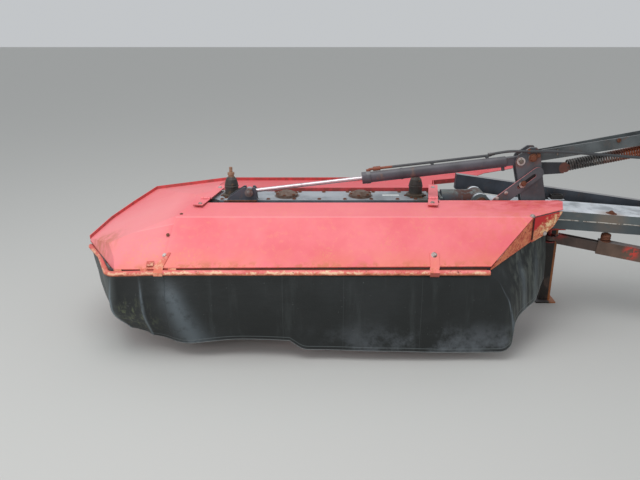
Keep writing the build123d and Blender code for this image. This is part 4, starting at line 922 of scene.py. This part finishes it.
# The attribute pale is high along a fold's crest, partly from rubbed wear and dust and partly as
# painted sheen.
crest_wear_and_sheen = f.add("ShaderNodeAttribute", attribute_name="pale").outputs["Fac"]
f.cover((126, 138, 146), crest_wear_and_sheen, f.patches(0.1, 0.5, 26, 3, 0.6))
f.cover((150, 154, 152), f.patches(0.70, 0.75, 80, 3, 0.7), 0.4)
seams = [f.band(x, seam - 0.0008, seam + 0.0008, 0.0012) for seam in (-0.206, 0.096, 0.482)]
f.cover((110, 116, 116), f.sum("ADD", f.sum("ADD", seams[0], seams[1]), seams[2]), 0.10)
f.cover((118, 126, 128), f.band(up, 0.0190, 0.0210, 0.0015), 0.45)
# Painted highlight along the very bottom edge of the hem.
f.cover((160, 166, 168), f.rise(up, 0.005, 0.002), 0.7)
creases = f.sum("ADD", f.noise(9, 5, 0.65, (1, 1, 2.6)), f.both(f.noise(220, 2), 0.04))
canvas = f.done(creases, 0.006, f.sum("ADD", 0.42, f.both(f.noise(5), 0.2)))
DOWN, STEP, THICK = 72, 0.0075, 0.003
LEVELS = (0, 0.045, 0.115, 0.5, 1)


def curtain_cloth(name, columns, folds, body, nodes):
    """Cloth through columns of five points, from its top to its hem: smooth lines run across
    through each row of points, and smooth lines down through those. Folds push it outwards by
    height x exp(-|u|^power), u being widths from a line that leans from one place across to
    another; the width doubles on the way down. Along their crests they make it pale, partly for
    wear and dust and partly as painted sheen, by the crest weight x exp(-u^2 / reach^2)."""
    columns = np.array(columns, float)
    steps = np.linalg.norm(np.diff(columns[:, 3], axis=0), axis=1)
    marks = np.r_[0, np.cumsum(np.maximum(steps, 0.004))]
    across = int(marks[-1] / STEP)
    s = np.linspace(0, marks[-1], across)
    lines = through(columns, marks, s)
    depth = np.linspace(0, 1, DOWN)
    cloth = through(lines.transpose(1, 0, 2), LEVELS, depth).transpose(1, 0, 2)
    out = unit(np.cross(np.gradient(lines[:, 3], axis=0), (0, 0, 1)))
    s, depth = (s / marks[-1])[:, None], depth[None, :]
    push = 0.0016 * np.sin(37 * s + 3 * depth) * depth
    pale = np.zeros(push.shape)
    for first, last, width, height, power, crest_wear_and_sheen, reach in folds:
        u = (s - first - (last - first) * depth) / (width * (0.5 + 0.5 * depth))
        grown = np.clip(depth * 3, 0, 1)**1.5
        push = push + height * np.exp(-np.abs(u)**power) * grown
        pale = pale + crest_wear_and_sheen * np.exp(-(u / reach)**2) * grown
    cloth = cloth + out[:, None, :] * push[:, :, None]
    sheet = [(at(cloth).reshape(-1, 3), grid_faces(across, DOWN))]
    made = make_piece(name, sheet, body, "curtain", canvas)
    low = np.linalg.norm(np.diff(cloth[:, ::-1], axis=1), axis=2).cumsum(axis=1)
    up = np.c_[np.zeros(across), low][:, ::-1]
    measures = np.stack([np.broadcast_to(s * marks[-1], up.shape), up], -1).reshape(-1, 2)
    corners = np.empty(len(made.data.loops), np.int32)
    made.data.loops.foreach_get("vertex_index", corners)
    made.data.uv_layers.new(name="cloth").data.foreach_set("uv", measures[corners].ravel())
    made.data.attributes.new("pale", "FLOAT", "POINT").data.foreach_set("value", pale.ravel())
    made.modifiers.new("thickness", "SOLIDIFY").thickness = THICK
    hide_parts(*nodes)


def front_column(x, middle, hem):
    """Column of the front cloth: up behind the tube to the sheet, then down to the hem."""
    below = (x + (hem[0] - x) * 0.05, middle[1] + 0.006, 0.455)
    return [(x, -0.579, 0.5055), (x, -0.5805, 0.484), below, (*middle, 0.290), hem]


lid_columns = [front_column(*row) for row in (
    (-0.786, (-0.783, -0.587), (-0.780, -0.532, 0.088)),
    (-0.716, (-0.716, -0.589), (-0.714, -0.548, 0.084)),
    (-0.580, (-0.578, -0.591), (-0.575, -0.556, 0.097)),
    (-0.430, (-0.430, -0.593), (-0.429, -0.562, 0.104)),
    (-0.176, (-0.176, -0.596), (-0.176, -0.573, 0.104)),
    (-0.164, (-0.164, -0.597), (-0.162, -0.576, 0.096)),
    (-0.100, (-0.100, -0.599), (-0.099, -0.590, 0.064)),
    (-0.080, (-0.080, -0.600), (-0.079, -0.592, 0.062)),
    (0.385, (0.386, -0.602), (0.387, -0.604, 0.057)))]
lid_columns += [
    [(0.700, -0.577, 0.5085), (0.700, -0.580, 0.486), (0.702, -0.598, 0.455),
     (0.716, -0.604, 0.300), (0.730, -0.606, 0.050)],
    [(0.798, -0.575, 0.5105), (0.799, -0.579, 0.486), (0.835, -0.587, 0.440),
     (0.868, -0.598, 0.300), (0.895, -0.606, 0.054)],
    [(0.808, -0.572, 0.5115), (0.811, -0.577, 0.486), (0.866, -0.586, 0.425),
     (0.921, -0.593, 0.300), (0.950, -0.595, 0.092)],
    [(0.813, -0.569, 0.5130), (0.819, -0.573, 0.488), (0.872, -0.583, 0.425),
     (0.929, -0.588, 0.320), (0.956, -0.589, 0.200)],
    [(0.930, -0.484, 0.553), (0.930, -0.486, 0.530), (0.945, -0.496, 0.480),
     (0.990, -0.505, 0.380), (1.014, -0.513, 0.236)],
    [(1.057, -0.386, 0.600), (1.058, -0.388, 0.578), (1.064, -0.395, 0.530),
     (1.076, -0.418, 0.410), (1.083, -0.441, 0.250)],
    [(1.146, -0.335, 0.628), (1.148, -0.337, 0.605), (1.155, -0.338, 0.560),
     (1.166, -0.339, 0.460), (1.168, -0.339, 0.350)],
]
lid_folds = [(-0.007, 0.060, 0.065, 0.024, 2, 0.42, 0.55), (0.62, 0.55, 0.10, 0.006, 2, 0, 1),
             (0.27, 0.30, 0.09, 0.005, 2, 0, 1), (0.90, 0.89, 0.028, 0.007, 2, 0.3, 0.5),
             (0.955, 0.95, 0.026, 0.008, 2, 0.2, 0.5),
             (0.808, 0.820, 0.010, 0.004, 1.2, 0.55, 0.22)]
curtain_cloth("curtain_lid_cloth", lid_columns, lid_folds, "lid",
              ["curtain_front_left", "curtain_front_right", "curtain_right"])
left_columns = [
    [(-1.245, -0.226, 0.505), (-1.252, -0.229, 0.482), (-1.250, -0.231, 0.455),
     (-1.205, -0.236, 0.240), (-1.125, -0.246, 0.084)],
    [(-1.143, -0.396, 0.500), (-1.149, -0.400, 0.478), (-1.156, -0.402, 0.448),
     (-1.136, -0.388, 0.250), (-1.082, -0.340, 0.094)],
    [(-1.031, -0.561, 0.492), (-1.036, -0.565, 0.474), (-1.050, -0.573, 0.444),
     (-1.052, -0.553, 0.280), (-1.010, -0.410, 0.098)],
    [(-0.940, -0.571, 0.498), (-0.940, -0.573, 0.478), (-0.938, -0.579, 0.446),
     (-0.926, -0.574, 0.290), (-0.905, -0.468, 0.094)],
    [(-0.790, -0.576, 0.498), (-0.790, -0.576, 0.480), (-0.789, -0.581, 0.450),
     (-0.787, -0.582, 0.290), (-0.784, -0.526, 0.088)],
    [(-0.752, -0.575, 0.500), (-0.752, -0.575, 0.480), (-0.752, -0.581, 0.450),
     (-0.752, -0.583, 0.290), (-0.750, -0.536, 0.088)],
]
left_folds = [(0.535, 0.53, 0.070, 0.022, 1.3, 0.9, 0.15),
              (0.785, 0.76, 0.060, 0.020, 1.3, 0.6, 0.18), (0.15, 0.20, 0.10, 0.008, 2, 0, 1),
              (0.928, 1.146, 0.21, 0.024, 2, 0.42, 0.55)]
curtain_cloth("curtain_left_cloth", left_columns, left_folds, "head",
              ["curtain_left"])
